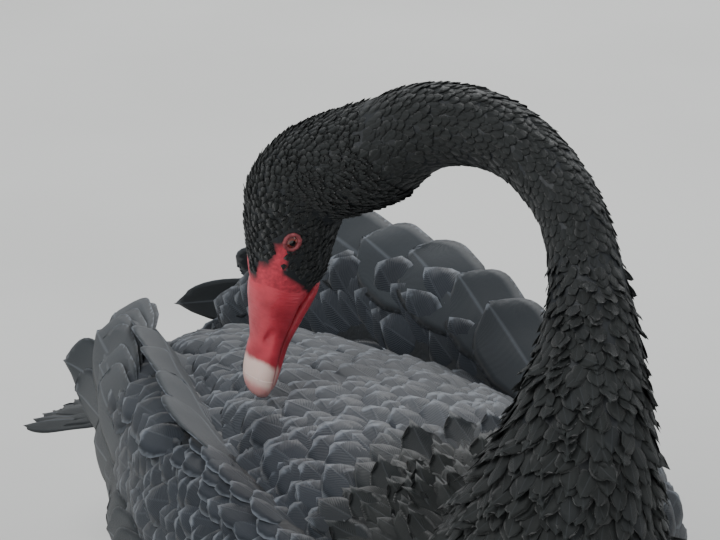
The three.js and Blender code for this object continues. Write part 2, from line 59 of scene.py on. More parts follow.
# Shapes repeated from the part's source, in millimetres
TORSO_SQUARENESS = 2.3
TORSO = [  # x, half width, lowest z, highest z
    (-300, 24, 112, 146), (-250, 50, 78, 180), (-190, 73, 34, 203), (-110, 100, 4, 220),
    (-20, 124, -3, 230), (70, 133, -4, 230), (140, 128, -1, 216), (195, 108, 22, 196),
    (232, 78, 54, 172), (252, 46, 84, 150), (264, 7, 112, 124),
]
NECK = [  # centre line x, y, z and radius, from the chest to the nape
    (196, 0, 140, 60), (213, 0, 192, 57), (222, 4, 233, 51), (217, 16, 271, 39),
    (194.5, 32, 312, 27.5), (171.5, 41, 339.5, 21.5), (150.5, 44, 362, 19.8), (127, 41.5, 378.5, 19.8),
    (100, 33, 391, 21), (74, 19.5, 394.5, 23.2), (50.5, 4, 388.5, 25.8), (32, -9.5, 374, 29),
]
BILL_TIP = (-13.4, -69, 227)
HEAD_FORWARD = (-0.071, -0.204, -0.976)
HEAD_DORSAL = (0.196, -0.969, 0.149)
HEAD = [  # distance behind the bill's tip, dorsal, ventral, half width
    (56, 10.6, -20, 12.6), (62, 12.6, -22, 14), (66.6, 14.2, -23.5, 15.2), (72, 16.5, -27, 17.5),
    (80, 19.5, -29.5, 19.5), (90, 23, -30, 21.5), (100, 26, -30, 23.5), (112, 28, -31, 25),
    (124, 28, -33, 25.5),
]
HEAD_BEND, HEAD_BEND_REACH, NAPE_SWELL = 14, 0.42, (3.5, 1.5)
EYE_BACK, EYE_DORSAL, EYE_RADIUS = 97, 12, 5.4
BILL_LENGTH = 66  # from its tip to the first feathers
UPPER_BILL = [  # distance behind the tip, top, lip, half width
    (0.6, -4.6, -8, 3.2), (3, -1.2, -8.2, 7.4), (8, 1.8, -8, 10.6), (15, 3.8, -7.8, 11.8),
    (24, 4.6, -7.8, 11.8), (36, 5.8, -8.8, 11.8), (50, 9.8, -11.6, 13.4), (60, 13, -14.2, 14.8),
    (66.2, 14.2, -17, 15.1), (72, 14, -18, 14.6),
]
LOWER_BILL = [  # distance behind the tip, lip, chin, half width
    (4, -6, -10.6, 5.2), (9, -5.6, -11.8, 8.6), (18, -5.2, -12.8, 9.8), (34, -6.2, -14.6, 10.2),
    (50, -9.1, -19.6, 12), (60, -11.8, -22.4, 13.4), (66.2, -14.6, -23.4, 14), (72, -16, -23.6, 13.6),
]
WING = {  # x, middle y, middle z, half thickness, half height of the left and of the lowered right wing
    1: [(172, 86, 150, 3, 6), (152, 94, 150, 20, 36), (112, 102, 150, 33, 56), (60, 107, 151, 38, 68),
        (0, 109, 154, 40, 80), (-60, 107, 158, 41, 86), (-125, 101, 162, 40, 88), (-190, 89, 164, 36, 80),
        (-240, 73, 162, 28, 60), (-285, 57, 158, 17, 36), (-308, 50, 156, 4, 9)],
    -1: [(172, 86, 150, 3, 6), (152, 94, 150, 20, 36), (112, 102, 146, 33, 54), (60, 106, 144, 38, 64),
         (0, 103, 143, 38, 70), (-60, 91, 143, 36, 72), (-125, 73, 143, 33, 68), (-190, 55, 143, 29, 58),
         (-240, 39, 143, 23, 45), (-285, 27, 142, 15, 28), (-308, 21, 140, 4, 8)],
}
WING_REACH = (172, -308)
TAIL_ROOT = (-286, 0, 127)
FOOT_HEEL = (-150, 62)
FOOT_LENGTH = 104
FOOT_SPREAD = 0.2

# Skin, coat and meshes
TORSO_SHRINK, NECK_SHRINK, HEAD_SHRINK, WING_SHRINK = 3.0, 2.0, 0.9, 3.0
SKIN_VOXEL, FOOT_VOXEL = 0.003, 0.0009  # metres
BAKE_PATCH = 0.003  # width of one feather's patch on the OFBake map
BODY_SIDES, BODY_RINGS, LIMB_SIDES, NECK_RINGS, WING_RINGS = 72, 70, 48, 110, 60
HEAD_SIDES, HEAD_RINGS = 60, 34


def circle(sides):
    """Angles once round."""
    return np.linspace(0, 2 * np.pi, sides, endpoint=False)


def cubic(t, start, leave, end, arrive):
    """From start to end as t goes from 0 to 1, with the slopes at both ends."""
    return ((2 * t**3 - 3 * t**2 + 1) * start + (t**3 - 2 * t**2 + t) * leave
            + (3 * t**2 - 2 * t**3) * end + (t**3 - t**2) * arrive)


def along(rows, at):
    """Cubic through the values of rows that start with the place they stand for."""
    rows = np.asarray(rows, float)
    at = np.atleast_1d(np.asarray(at, float))
    way = 1.0 if rows[1, 0] > rows[0, 0] else -1.0
    i = np.clip(np.searchsorted(rows[:, 0] * way, at * way, side="left") - 1, 0, len(rows) - 2)
    here, following = rows[i], rows[i + 1]
    before, after = rows[np.maximum(i - 1, 0)], rows[np.minimum(i + 2, len(rows) - 1)]
    span = (following[:, 0] - here[:, 0])[:, None]
    t = np.clip((at - here[:, 0]) / span[:, 0], 0, 1)[:, None]
    leave = (following - before)[:, 1:] / (following - before)[:, :1] * span
    arrive = (after - here)[:, 1:] / (after - here)[:, :1] * span
    return cubic(t, here[:, 1:], leave, following[:, 1:], arrive)


def unit(v):
    v = np.asarray(v, float)
    return v / np.maximum(np.linalg.norm(v, axis=-1, keepdims=True), 1e-12)


def across(v, axis):
    """The part of v square to the axis, made one long."""
    return unit(v - np.sum(v * axis, -1, keepdims=True) * axis)


def torso_point(x, angle, grow=0.0):
    """Points of the body's surface at x, an angle from the left side up over the back."""
    half, low, high = along(TORSO, x).T
    power = lambda value: np.sign(value) * np.abs(value) ** (2 / TORSO_SQUARENESS)
    y = (half + grow) * power(np.cos(angle))
    z = (low + high) / 2 + ((high - low) / 2 + grow) * power(np.sin(angle))
    return np.stack([x + 0 * y, y, np.maximum(z, np.maximum(-grow, 0))], -1)


class Line:
    """A smooth centre line with a radius, as the neck has."""

    def __init__(self, rows):
        rows = np.asarray(rows, float)
        p = rows[:, :3]
        p = np.vstack([2 * p[0] - p[1], p, 2 * p[-1] - p[-2]])
        count = len(rows) - 1
        radii = np.column_stack([np.arange(len(rows)) / count, rows[:, 3]])
        t = np.linspace(0, count, 60 * count + 1)
        i = np.minimum(t.astype(int), count - 1)
        w = (t - i)[:, None]
        p0, p1, p2, p3 = p[i], p[i + 1], p[i + 2], p[i + 3]
        gap = lambda a, b: np.sqrt(np.linalg.norm(a - b, axis=1))[:, None]
        d0, d1, d2 = gap(p0, p1), gap(p1, p2), gap(p2, p3)
        m1 = ((p1 - p0) / d0 - (p2 - p0) / (d0 + d1) + (p2 - p1) / d1) * d1
        m2 = ((p2 - p1) / d1 - (p3 - p1) / (d1 + d2) + (p3 - p2) / d2) * d1
        self.points = cubic(w, p1, m1, p2, m2)
        steps = np.linalg.norm(np.diff(self.points, axis=0), axis=1)
        self.share = np.concatenate([[0], np.cumsum(steps)])
        self.share /= self.share[-1]
        self.radius = along(radii, t / count)[:, 0]
        self.ahead = unit(np.gradient(self.points, axis=0))

    def at(self, share):
        """Centre, way ahead and radius at shares of the length."""
        pick = lambda column: np.interp(share, self.share, column)
        centre = np.stack([pick(self.points[:, k]) for k in range(3)], -1)
        ahead = unit(np.stack([pick(self.ahead[:, k]) for k in range(3)], -1))
        return centre, ahead, pick(self.radius)

    def ring(self, share, angle, way, grow=0.0):
        """Points round the line at a share of its length; angle 0 is on the side that `way` points to."""
        centre, ahead, radius = self.at(share)
        up = across(np.asarray(way, float), ahead)
        side = np.cross(up, ahead)
        return centre + (radius + grow) * (np.outer(np.cos(angle), up) + np.outer(np.sin(angle), side))


NECK_LINE = Line(NECK)
FORWARD = unit(HEAD_FORWARD)
DORSAL = across(np.array(HEAD_DORSAL), FORWARD)
OUTWARD = np.cross(DORSAL, FORWARD)


def head_point(back, up, out):
    """World point from distances behind the bill's tip, dorsal and out to the head's left."""
    back, up, out = (np.asarray(v, float)[..., None] for v in (back, up, out))
    return np.array(BILL_TIP, float) - FORWARD * back + DORSAL * up + OUTWARD * out


def head_place(points):
    """Distances behind the bill's tip, dorsal and out, of world points."""
    d = points - np.array(BILL_TIP, float)
    return -(d @ FORWARD), d @ DORSAL, d @ OUTWARD


def head_rings(count, sides, shrink):
    """Rings of the skull and of its bend into the nape."""
    last = HEAD[-1]
    straight_end = last[0] - HEAD_BEND
    backs = np.linspace(HEAD[0][0], straight_end, count)
    angle = circle(sides)
    rings = []
    for back, (up, down, half) in zip(backs, along(HEAD, backs)):
        ease = min(1.0, max(0.25, (back - BILL_LENGTH) / 24)) * shrink
        rings.append(head_point(back + 0 * angle, (up + down) / 2 + ((up - down) / 2 - ease) * np.cos(angle),
                                (half - ease) * np.sin(angle)))
    start = head_point(straight_end, (last[1] + last[2]) / 2 + 1, 0)
    end, end_ahead, end_radius = (v[0] for v in NECK_LINE.at(np.array([1.0])))
    reach = np.linalg.norm(end - start) * HEAD_BEND_REACH
    handles = [start, start - FORWARD * reach, end + end_ahead * reach, end]
    for t in np.linspace(0, 1, count)[1:]:
        weights = [(1 - t)**3, 3 * (1 - t)**2 * t, 3 * (1 - t) * t**2, t**3]
        slopes = [-(1 - t)**2, (1 - t)**2 - 2 * (1 - t) * t, 2 * (1 - t) * t - t**2, t**2]
        centre = sum(w * h for w, h in zip(weights, handles))
        ahead = -unit(sum(w * h for w, h in zip(slopes, handles)))
        ease = t * t * (3 - 2 * t)
        taller, wider = (swell * math.sin(math.pi * t) for swell in NAPE_SWELL)
        tall = (last[1] - last[2]) / 2 * (1 - ease) + end_radius * ease + taller
        wide = last[3] * (1 - ease) + end_radius * ease + wider
        up = across(DORSAL, ahead)
        side = np.cross(up, ahead)
        rings.append(centre + np.outer(np.cos(angle) * (tall - shrink), up)
                     + np.outer(np.sin(angle) * (wide - shrink), side))
    return np.array(rings)


def wing_point(side, x, angle, grow=0.0):
    """Points of a wing's core; side is 1 for the left wing and -1 for the right."""
    y, z, thick, tall = along(WING[side], x).T
    return np.stack([x + 0 * angle, side * (y + np.maximum(thick + grow, 0.5) * np.cos(angle)),
                     z + np.maximum(tall + grow, 0.5) * np.sin(angle)], -1)


def wing_frame(side, x, angle, grow=0.0):
    """Point, outward normal, way back and way round at places of a wing's core."""
    x, angle = np.asarray(x, float), np.asarray(angle, float)
    point = wing_point(side, x, angle, grow)
    back = unit(wing_point(side, x - 1, angle) - wing_point(side, x + 1, angle))
    round_way = unit(wing_point(side, x, angle + 0.02) - wing_point(side, x, angle - 0.02))
    normal = unit(np.cross(back, round_way))
    outward = np.stack([0 * angle, side * np.cos(angle), np.sin(angle)], -1)
    normal *= np.sign(np.sum(normal * outward, -1, keepdims=True) + 1e-9)
    return point, normal, back, round_way


# Meshes

def new_object(name, points, faces, smooth=True):
    """Object from points in millimetres and faces of any size."""
    mesh = bpy.data.meshes.new(name)
    mesh.from_pydata((np.asarray(points, float) * MM).tolist(), [], [list(map(int, f)) for f in faces])
    mesh.update()
    mesh.polygons.foreach_set("use_smooth", [smooth] * len(mesh.polygons))
    obj = bpy.data.objects.new(name, mesh)
    bpy.context.scene.collection.objects.link(obj)
    return obj


def loft(rings):
    """Points and faces of a closed skin over rings, turned the right way out."""
    rings = np.asarray(rings, float)
    count, sides = rings.shape[:2]
    points = np.vstack([rings.reshape(-1, 3), rings[0].mean(0), rings[-1].mean(0)])
    r, s = np.meshgrid(np.arange(count - 1), np.arange(sides), indexing="ij")
    a, b = (r * sides + s).ravel(), (r * sides + (s + 1) % sides).ravel()
    faces = np.column_stack([a, b, b + sides, a + sides]).tolist()
    ring = np.arange(sides)
    start, last = count * sides, (count - 1) * sides
    faces += np.column_stack([np.roll(ring, -1), ring, np.full(sides, start)]).tolist()
    faces += np.column_stack([ring + last, np.roll(ring, -1) + last, np.full(sides, start + 1)]).tolist()
    volume = sum(np.dot(points[f[0]], np.cross(points[f[1]], points[f[2]]))
                 + (np.dot(points[f[0]], np.cross(points[f[2]], points[f[3]])) if len(f) == 4 else 0)
                 for f in faces)
    return points, [f[::-1] for f in faces] if volume < 0 else faces


def joined(parts):
    """One list of points and faces from several."""
    points, faces, start = [], [], 0
    for part_points, part_faces in parts:
        points.append(np.asarray(part_points, float))
        faces += [[i + start for i in face] for face in part_faces]
        start += len(part_points)
    return np.vstack(points), faces


def shell_faces(rows, cols):
    """Faces of a closed thin shell: a sheet of rows by cols points and a lower one that shares its rim."""
    upper = np.arange(rows * cols).reshape(rows, cols)
    lower = upper.copy()
    inner = np.arange((rows - 2) * (cols - 2)).reshape(rows - 2, cols - 2) + rows * cols
    lower[1:-1, 1:-1] = inner
    quads = lambda g: np.stack([g[:-1, :-1], g[:-1, 1:], g[1:, 1:], g[1:, :-1]], -1).reshape(-1, 4)
    return np.vstack([quads(upper), quads(lower)[:, ::-1]]), np.vstack([quads(upper), quads(upper)[:, ::-1]])


def shell_points(sheet, normal, thick):
    """Points of that shell: the sheet, then its inner points lowered by the thickness."""
    lower = (sheet - normal * thick)[1:-1, 1:-1]
    return np.vstack([sheet.reshape(-1, 3), lower.reshape(-1, 3)])


def finish_piece(obj, slot, *materials, replaces=()):
    """Gives the piece its materials and its body, and hides the parts that it replaces; slot is not used."""
    obj.data.materials.clear()
    for material in materials:
        obj.data.materials.append(material)
    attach(obj, "root")
    if replaces:
        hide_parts(*replaces)


def voxel_skin(obj, voxel, rounds, factor):
    """The object remeshed as one even, smoothed surface."""
    voxels = obj.modifiers.new("voxels", "REMESH")
    voxels.mode = "VOXEL"
    voxels.voxel_size = voxel
    voxels.use_smooth_shade = True
    smooth = obj.modifiers.new("smooth", "SMOOTH")
    smooth.iterations = rounds
    smooth.factor = factor
    return realised(obj)


def coordinates(items, key, size=3):
    """One array of a mesh's own values, a row for each item."""
    values = np.empty(len(items) * size)
    items.foreach_get(key, values)
    return values.reshape(-1, size)


def corner_points(mesh):
    """The number of the point at each corner of the mesh's faces."""
    corner = np.empty(len(mesh.loops), np.int32)
    mesh.loops.foreach_get("vertex_index", corner)
    return corner


def realised(obj):
    """The object with its modifiers turned into a plain mesh."""
    graph = bpy.context.evaluated_depsgraph_get()
    mesh = bpy.data.meshes.new_from_object(obj.evaluated_get(graph), preserve_all_data_layers=True,
                                           depsgraph=graph)
    obj.modifiers.clear()
    obj.data = mesh
    return obj


# Materials

class Nodes:
    """A node tree, with a call that adds a node and gives its sockets their values or links."""

    def __init__(self, tree):
        self.tree = tree

    def node(self, kind, sockets=(), **settings):
        made = self.tree.nodes.new(kind)
        for key, value in settings.items():
            setattr(made, key, value)
        for key, value in dict(sockets).items():
            self.feed(made.inputs[key], value)
        return made

    def feed(self, socket, value):
        if isinstance(value, bpy.types.NodeSocket):
            self.tree.links.new(value, socket)
        else:
            socket.default_value = value


class Shader(Nodes):
    """A node material, with short calls for the nodes that it needs."""

    def __init__(self, name):
        self.material = bpy.data.materials.new(name)
        self.material.use_nodes = True
        super().__init__(self.material.node_tree)
        self.main = self.tree.nodes["Principled BSDF"]

    def node(self, kind, sockets=(), **settings):
        return super().node("ShaderNode" + kind, sockets, **settings)

    def math(self, operation, *values):
        made = self.node("Math", operation=operation)
        for socket, value in zip(made.inputs, values):
            self.feed(socket, value)
        return made.outputs[0]

    def plus(self, first, second):
        return self.math("ADD", first, second)

    def times(self, first, second):
        return self.math("MULTIPLY", first, second)

    def ramp(self, value, low, high, to_low=0.0, to_high=1.0):
        made = self.node("MapRange", {"Value": value, "From Min": low, "From Max": high,
                                      "To Min": to_low, "To Max": to_high}, interpolation_type="SMOOTHSTEP")
        return made.outputs["Result"]

    def mix(self, share, first, second):
        made = self.node("Mix", data_type="RGBA")
        self.feed(made.inputs[0], share)
        self.feed(made.inputs[6], first)
        self.feed(made.inputs[7], second)
        return made.outputs[2]

    def noise(self, scale, detail=4.0, vector=None):
        sockets = {"Scale": scale, "Detail": detail}
        sockets["Vector"] = vector or self.node("TexCoord").outputs["Object"]
        return self.node("TexNoise", sockets).outputs["Fac"]

    def attribute(self, name):
        return self.node("Attribute", attribute_name=name).outputs["Fac"]

    def set(self, **values):
        for key, value in values.items():
            self.feed(self.main.inputs[key.replace("_", " ").title()], value)

    def bump(self, height, strength, distance):
        made = self.node("Bump", {"Strength": strength, "Distance": distance, "Height": height})
        self.feed(self.main.inputs["Normal"], made.outputs["Normal"])


def rgba(colour, gain=1.0):
    return (*[c * gain for c in colour[:3]], 1.0)


def feather_material(name, centre, rim, dark, rim_from, barbs, sheen, shaft_weight):
    """Vane with a paler rim, a shaft and fine barbs, read from the vane's own map."""
    s = Shader(name)
    vane = s.node("SeparateXYZ", {"Vector": s.node("UVMap", uv_map="vane").outputs["UV"]})
    side = s.math("ABSOLUTE", s.math("SUBTRACT", s.times(vane.outputs["X"], 2.0), 1.0))
    length = vane.outputs["Y"]
    fluff = s.noise(260.0, 5.0)
    reach = s.math("MAXIMUM", s.math("POWER", side, 2.2), s.math("POWER", length, 3.0))
    uneven = s.times(s.math("SUBTRACT", fluff, 0.5), 0.55)
    edge = s.ramp(s.plus(reach, uneven), rim_from, 1.05)
    tone = s.attribute("tone")
    hue = s.attribute("hue")
    slate = s.mix(s.times(edge, s.ramp(hue, 0.1, 0.9)), rgba(centre), rgba(rim))
    colour = s.mix(s.ramp(hue, 0.0, 1.0), s.mix(edge, rgba(dark), rgba(dark, 1.9)), slate)
    shaft = s.math("SUBTRACT", 1.0, s.ramp(side, 0.0, 0.07))
    colour = s.mix(s.times(shaft, shaft_weight), colour, rgba(rim, 0.9))
    slant = s.plus(length, s.times(side, -0.45))
    stripes = s.math("SINE", s.times(slant, barbs))
    gain = s.plus(s.times(tone, 0.7), s.times(stripes, 0.05))
    gain = s.plus(gain, s.times(s.noise(9.0, 3.0), 0.55))
    bright = s.node("HueSaturation", {"Value": gain, "Color": colour})
    s.set(base_color=bright.outputs["Color"], roughness=0.62)
    s.main.inputs["Sheen Weight"].default_value = sheen
    s.main.inputs["Sheen Roughness"].default_value = 0.4
    s.main.inputs["Specular IOR Level"].default_value = 0.3
    height = s.plus(s.times(stripes, 0.5), s.times(shaft, 1.5))
    s.bump(s.plus(height, s.times(fluff, 0.8)), 0.35, 0.0006)
    return s.material


def skin_material(c):
    """Dark down under the feathers, and bare red skin where the bare attribute says so."""
    s = Shader("skin")
    bare = s.attribute("bare")
    down = s.mix(s.noise(180.0), rgba(c.neck, 0.7), rgba(c.back, 0.6))
    grain = s.noise(420.0, 6.0)
    red = s.mix(s.ramp(grain, 0.3, 0.7), rgba(c.bill, 0.75), rgba(c.bill, 1.1))
    s.set(base_color=s.mix(bare, down, red), roughness=0.6)
    s.bump(s.plus(grain, s.noise(60.0)), 0.4, 0.0012)
    return s.material


def bill_material(name, red, deep, white):
    """Horn with fine wrinkles across, cloudy patches of deeper red and a white to pink nail."""
    s = Shader(name)
    place = s.node("SeparateXYZ", {"Vector": s.node("UVMap", uv_map="horn").outputs["UV"]})
    back, level = place.outputs["X"], place.outputs["Y"]
    cloud = s.noise(70.0, 5.0)
    colour = s.mix(s.ramp(cloud, 0.3, 0.72), rgba(red), rgba(deep))
    band = s.plus(back, s.times(s.math("SUBTRACT", s.noise(120.0), 0.5), 0.08))
    pale = s.times(s.ramp(s.math("SUBTRACT", band, s.times(level, 0.05)), 0.34, 0.28),
                  s.ramp(level, -0.5, 0.25))
    colour = s.mix(pale, colour, rgba(white))
    pink = s.mix(0.5, rgba(red), rgba(white))
    colour = s.mix(s.ramp(band, 0.18, 0.09), colour, pink)
    s.set(base_color=colour, roughness=s.ramp(cloud, 0.2, 0.8, 0.3, 0.46))
    s.main.inputs["Subsurface Weight"].default_value = 0.12
    s.main.inputs["Subsurface Scale"].default_value = 0.004
    s.main.inputs["Coat Weight"].default_value = 0.15
    stretched = s.node("CombineXYZ", {"X": s.times(back, 60.0),
                                      "Y": s.times(level, 2.5)})
    depth = s.times(s.noise(1.0, 4.0, stretched.outputs["Vector"]), s.ramp(back, 0.35, 0.75))
    s.bump(s.plus(depth, s.times(s.noise(500.0, 6.0), 0.35)), 0.3, 0.0012)
    return s.material


def plain_material(name, colour, second, roughness, scale, bump=0.3, coat=0.0):
    """Two tones of one colour mixed by noise, with its grain as relief."""
    s = Shader(name)
    grain = s.noise(scale, 5.0)
    s.set(base_color=s.mix(s.ramp(grain, 0.3, 0.7), rgba(colour), rgba(second)), roughness=roughness)
    s.main.inputs["Coat Weight"].default_value = coat
    s.bump(grain, bump, 0.0008)
    return s.material


# Feathers

SMALL_PLACES = np.array([0.0, 0.2, 0.45, 0.7, 0.88, 1.0])   # along a small feather
SMALL_WIDTHS = np.array([0.32, 0.76, 1.0, 0.97, 0.8, 0.42])  # share of its width there
ROOT_SUNK = (0.6, 0.03)  # how far a root sinks in: at most, and as a share of the feather's length


def small_feather(name, cols, ragged, seed, pointed=0.0, bend=0.12, camber=0.16):
    """Unit feather along +Y with its face up: closed, thin and a little ragged at the tip."""
    rng = np.random.default_rng(seed)
    widths = SMALL_WIDTHS * (1 - pointed * SMALL_PLACES ** 1.5)
    share = np.linspace(-0.5, 0.5, cols)
    sheet = np.zeros((len(SMALL_PLACES), cols, 3))
    for r, (place, width) in enumerate(zip(SMALL_PLACES, widths)):
        fray = ragged * place ** 2 * rng.uniform(-1, 1, cols)
        sheet[r, :, 0] = share * width
        sheet[r, :, 1] = place - 0.17 * (2 * share) ** 2 * place + fray
        sheet[r, :, 2] = -camber * (2 * share * width) ** 2 * 0.5 - bend * place ** 2 + 0.02 * fray
    points = shell_points(sheet, np.array([0, 0, 1.0]), 0.03)
    faces, corners = shell_faces(*sheet.shape[:2])
    mesh = bpy.data.meshes.new(name)
    mesh.from_pydata(points.tolist(), [], faces.tolist())
    vane = mesh.uv_layers.new(name="vane")
    grid = np.stack([np.tile(share + 0.5, len(SMALL_PLACES)), np.repeat(SMALL_PLACES, cols)], -1)
    vane.data.foreach_set("uv", grid[corners.ravel()].ravel())
    mesh.polygons.foreach_set("use_smooth", [True] * len(mesh.polygons))
    return bpy.data.objects.new(name, mesh)


class Growth(Nodes):
    """A Geometry Nodes tree with named inputs and one output."""

    def __init__(self, name, inputs, output):
        super().__init__(bpy.data.node_groups.new(name, "GeometryNodeTree"))
        for label, kind in inputs.items():
            self.tree.interface.new_socket(label, in_out="INPUT", socket_type="NodeSocket" + kind)
        self.tree.interface.new_socket(output, in_out="OUTPUT", socket_type="NodeSocketGeometry")
        self.entry = self.node("NodeGroupInput").outputs
        self.leave = self.node("NodeGroupOutput").inputs[output]

    def grown(self, kind, sockets, **settings):
        """The first output of a new geometry node."""
        return self.node("GeometryNode" + kind, sockets, **settings).outputs[0]

    def named(self, name, kind):
        """The value of a named attribute."""
        return self.grown("InputNamedAttribute", {"Name": name}, data_type=kind)

    def ended(self, last):
        self.feed(self.leave, last)
        return self.tree


def grow_on(obj, tree, values):
    """The object turned into what the tree makes of it, with the tree's named inputs set."""
    modifier = obj.modifiers.new("nodes", "NODES")
    modifier.node_group = tree
    sockets = {item.name: item.identifier for item in tree.interface.items_tree}
    for label, value in values.items():
        modifier[sockets[label]] = value
    return realised(obj)


def scatter_tree():
    """One of a collection's feathers on each point, turned and sized by the point's own values."""
    t = Growth("scatter_feathers", {"Points": "Geometry", "Feathers": "Collection", "Finish": "Material",
                                    "Fullness": "Float"}, "Coat")
    size = t.node("ShaderNodeVectorMath", {0: t.named("size", "FLOAT_VECTOR"), "Scale": t.entry["Fullness"]},
                  operation="SCALE")
    kinds = t.grown("CollectionInfo", {"Collection": t.entry["Feathers"], "Separate Children": True,
                                       "Reset Children": True})
    placed = t.grown("InstanceOnPoints", {
        "Points": t.grown("MeshToPoints", {"Mesh": t.entry["Points"]}), "Instance": kinds,
        "Pick Instance": True, "Instance Index": t.named("kind", "INT"),
        "Rotation": t.named("turn", "FLOAT_VECTOR"), "Scale": size.outputs["Vector"]})
    real = t.grown("RealizeInstances", {"Geometry": placed})
    return t.ended(t.grown("SetMaterial", {"Geometry": real, "Material": t.entry["Finish"]}))


def euler_of(side, ahead, normal):
    """XYZ angles of the turn that takes X, Y and Z to these three ways."""
    return np.stack([np.arctan2(ahead[:, 2], normal[:, 2]), -np.arcsin(np.clip(side[:, 2], -1, 1)),
                     np.arctan2(side[:, 1], side[:, 0])], -1)


def coat_piece(name, roots, normals, lie, patch, rng, kinds, stray):
    """One plain mesh of small feathers that lie along the skin, raised by their lift, with its OFBake map."""
    count = len(roots)
    length, width, lift, tone, hue = (lie[key][:, 0] for key in FIELDS)
    ahead = across(lie["ahead"], normals)
    side = np.cross(ahead, normals)
    swing = rng.normal(0, stray, (count, 1))
    ahead, side = ahead * np.cos(swing) + side * np.sin(swing), side * np.cos(swing) - ahead * np.sin(swing)
    rise = (lift * rng.uniform(0.7, 1.35, count))[:, None]
    tip = ahead * np.cos(rise) + normals * np.sin(rise)
    face = normals * np.cos(rise) - ahead * np.sin(rise)
    vary = rng.uniform(0.88, 1.12, (count, 1))
    length, width = length[:, None], width[:, None]
    sunk = np.minimum(ROOT_SUNK[0], ROOT_SUNK[1] * length)
    mesh = bpy.data.meshes.new(name)
    mesh.from_pydata(((roots - normals * sunk) * MM).tolist(), [], [])
    values = {
        "turn": euler_of(side, tip, face),
        "size": np.hstack([width * vary, length * vary, length * vary]) * MM,
        "kind": rng.choice(kinds, count),
        "tone": tone * rng.uniform(0.8, 1.2, count),
        "hue": np.clip(hue + rng.normal(0, 0.08, count), 0, 1),
        "patch": np.column_stack([patch, np.zeros(count)]),
    }
    point_values(mesh, values)
    obj = bpy.data.objects.new(name, mesh)
    bpy.context.scene.collection.objects.link(obj)
    obj = grow_on(obj, shared("scatter", scatter_tree),
                  {"Feathers": shared("kinds", feather_kinds), "Finish": feather_finish("small_feathers"),
                   "Fullness": bpy.context.scene.swan_coat.fullness})
    bake_map(obj.data)
    if not len(obj.data.polygons):
        raise RuntimeError(name + " has no feathers")
    return obj


def point_values(mesh, values):
    """Stores arrays as the mesh's point attributes, by what each holds."""
    for key, rows in values.items():
        kind, field = ("INT" if rows.dtype.kind == "i" else "FLOAT"), "value"
        if rows.ndim == 2:
            kind, field = "FLOAT_VECTOR", "vector"
        mesh.attributes.new(key, kind, "POINT").data.foreach_set(field, rows.ravel())


def bake_map(mesh):
    """The OFBake map: each feather is a small patch at its root's place on the skin's own unwrap."""
    vane = coordinates(mesh.uv_layers["vane"].data, "uv", 2)
    patch = coordinates(mesh.attributes["patch"].data, "vector")
    place = patch[corner_points(mesh), :2] + (vane - 0.5) * BAKE_PATCH
    mesh.uv_layers.new(name="OFBake").data.foreach_set("uv", place.ravel())


def patch_in(box, u, v):
    """Places u and v, from 0 to 1, inside a box of the OFBake map."""
    low, high = np.array(box[:2]), np.array(box[2:])
    return low + (high - low) * np.stack([np.clip(u, 0, 1), np.clip(v, 0, 1)], -1)


PATCHES = {  # where each loft lies on the OFBake map: lowest u and v, highest u and v
    "torso": (0.01, 0.01, 0.49, 0.49), "neck": (0.51, 0.01, 0.99, 0.33), "head": (0.51, 0.35, 0.74, 0.49),
    1: (0.01, 0.51, 0.49, 0.74), -1: (0.01, 0.76, 0.49, 0.99),
    ("vanes", 1): (0.51, 0.51, 0.74, 0.74), ("vanes", -1): (0.51, 0.76, 0.74, 0.99),
    "tail": (0.76, 0.51, 0.99, 0.74),
}


def bare_share(points):
    """1 on the bare red skin between the bill and the eyes, 0 on feathers."""
    back, up, out = head_place(points)
    wedge = np.abs(out) - (1.2 + 0.3 * (back - BILL_LENGTH))
    cheek = (up + 14 - 1.83 * (back - BILL_LENGTH)) * 0.6
    mask = np.minimum.reduce([80 - back, wedge, cheek])
    strip = np.minimum(3.2 - np.abs(up - 12), 95 - back)
    inside = np.minimum.reduce([np.maximum(mask, strip), back - 50, 30 - np.abs(out), 40 - np.abs(up)])
    return np.clip(0.5 + inside / 1.4, 0, 1)


# Properties that a user would change

def angle_property(name, description, default, **limits):
    return bpy.props.FloatProperty(name=name, description=description, default=default, unit="ROTATION",
                                   subtype="ANGLE", **limits)


def colour_property(name, description, default):
    return bpy.props.FloatVectorProperty(name=name, description=description, default=default, size=3,
                                         subtype="COLOR", min=0.0, max=1.0)


class SwanColours(bpy.types.PropertyGroup):
    back: colour_property("Back", "Slate grey of the back and wings", (0.02, 0.025, 0.033))
    back_rim: colour_property("Back rims", "Paler rims of the back's feathers", (0.2, 0.225, 0.26))
    vane: colour_property("Vanes", "Dark grey of the large vanes", (0.04, 0.047, 0.054))
    neck: colour_property("Neck", "Near-black of the head and neck", (0.0125, 0.0145, 0.014))
    bill: colour_property("Bill", "Crimson red of the bill", (0.56, 0.05, 0.075))
    bill_deep: colour_property("Bill hollows", "Deeper red of the bill", (0.34, 0.02, 0.035))
    nail: colour_property("Nail", "White of the bar and nail", (0.78, 0.58, 0.52))
    iris: colour_property("Iris", "Red-brown of the eye", (0.09, 0.012, 0.008))
    leg: colour_property("Legs", "Dark grey of legs and feet", (0.02, 0.02, 0.022))


class SwanCoat(bpy.types.PropertyGroup):
    seed: bpy.props.IntProperty(name="Seed", description="Start of the random numbers", default=7, min=0)
    fullness: bpy.props.FloatProperty(name="Fullness", description="Size of the small feathers", default=1.0,
                                      min=0.5, max=1.5, subtype="FACTOR")
    ruffle: angle_property("Ruffle", "How far the neck's root feathers stand out", 0.42, min=0.0, max=1.2)


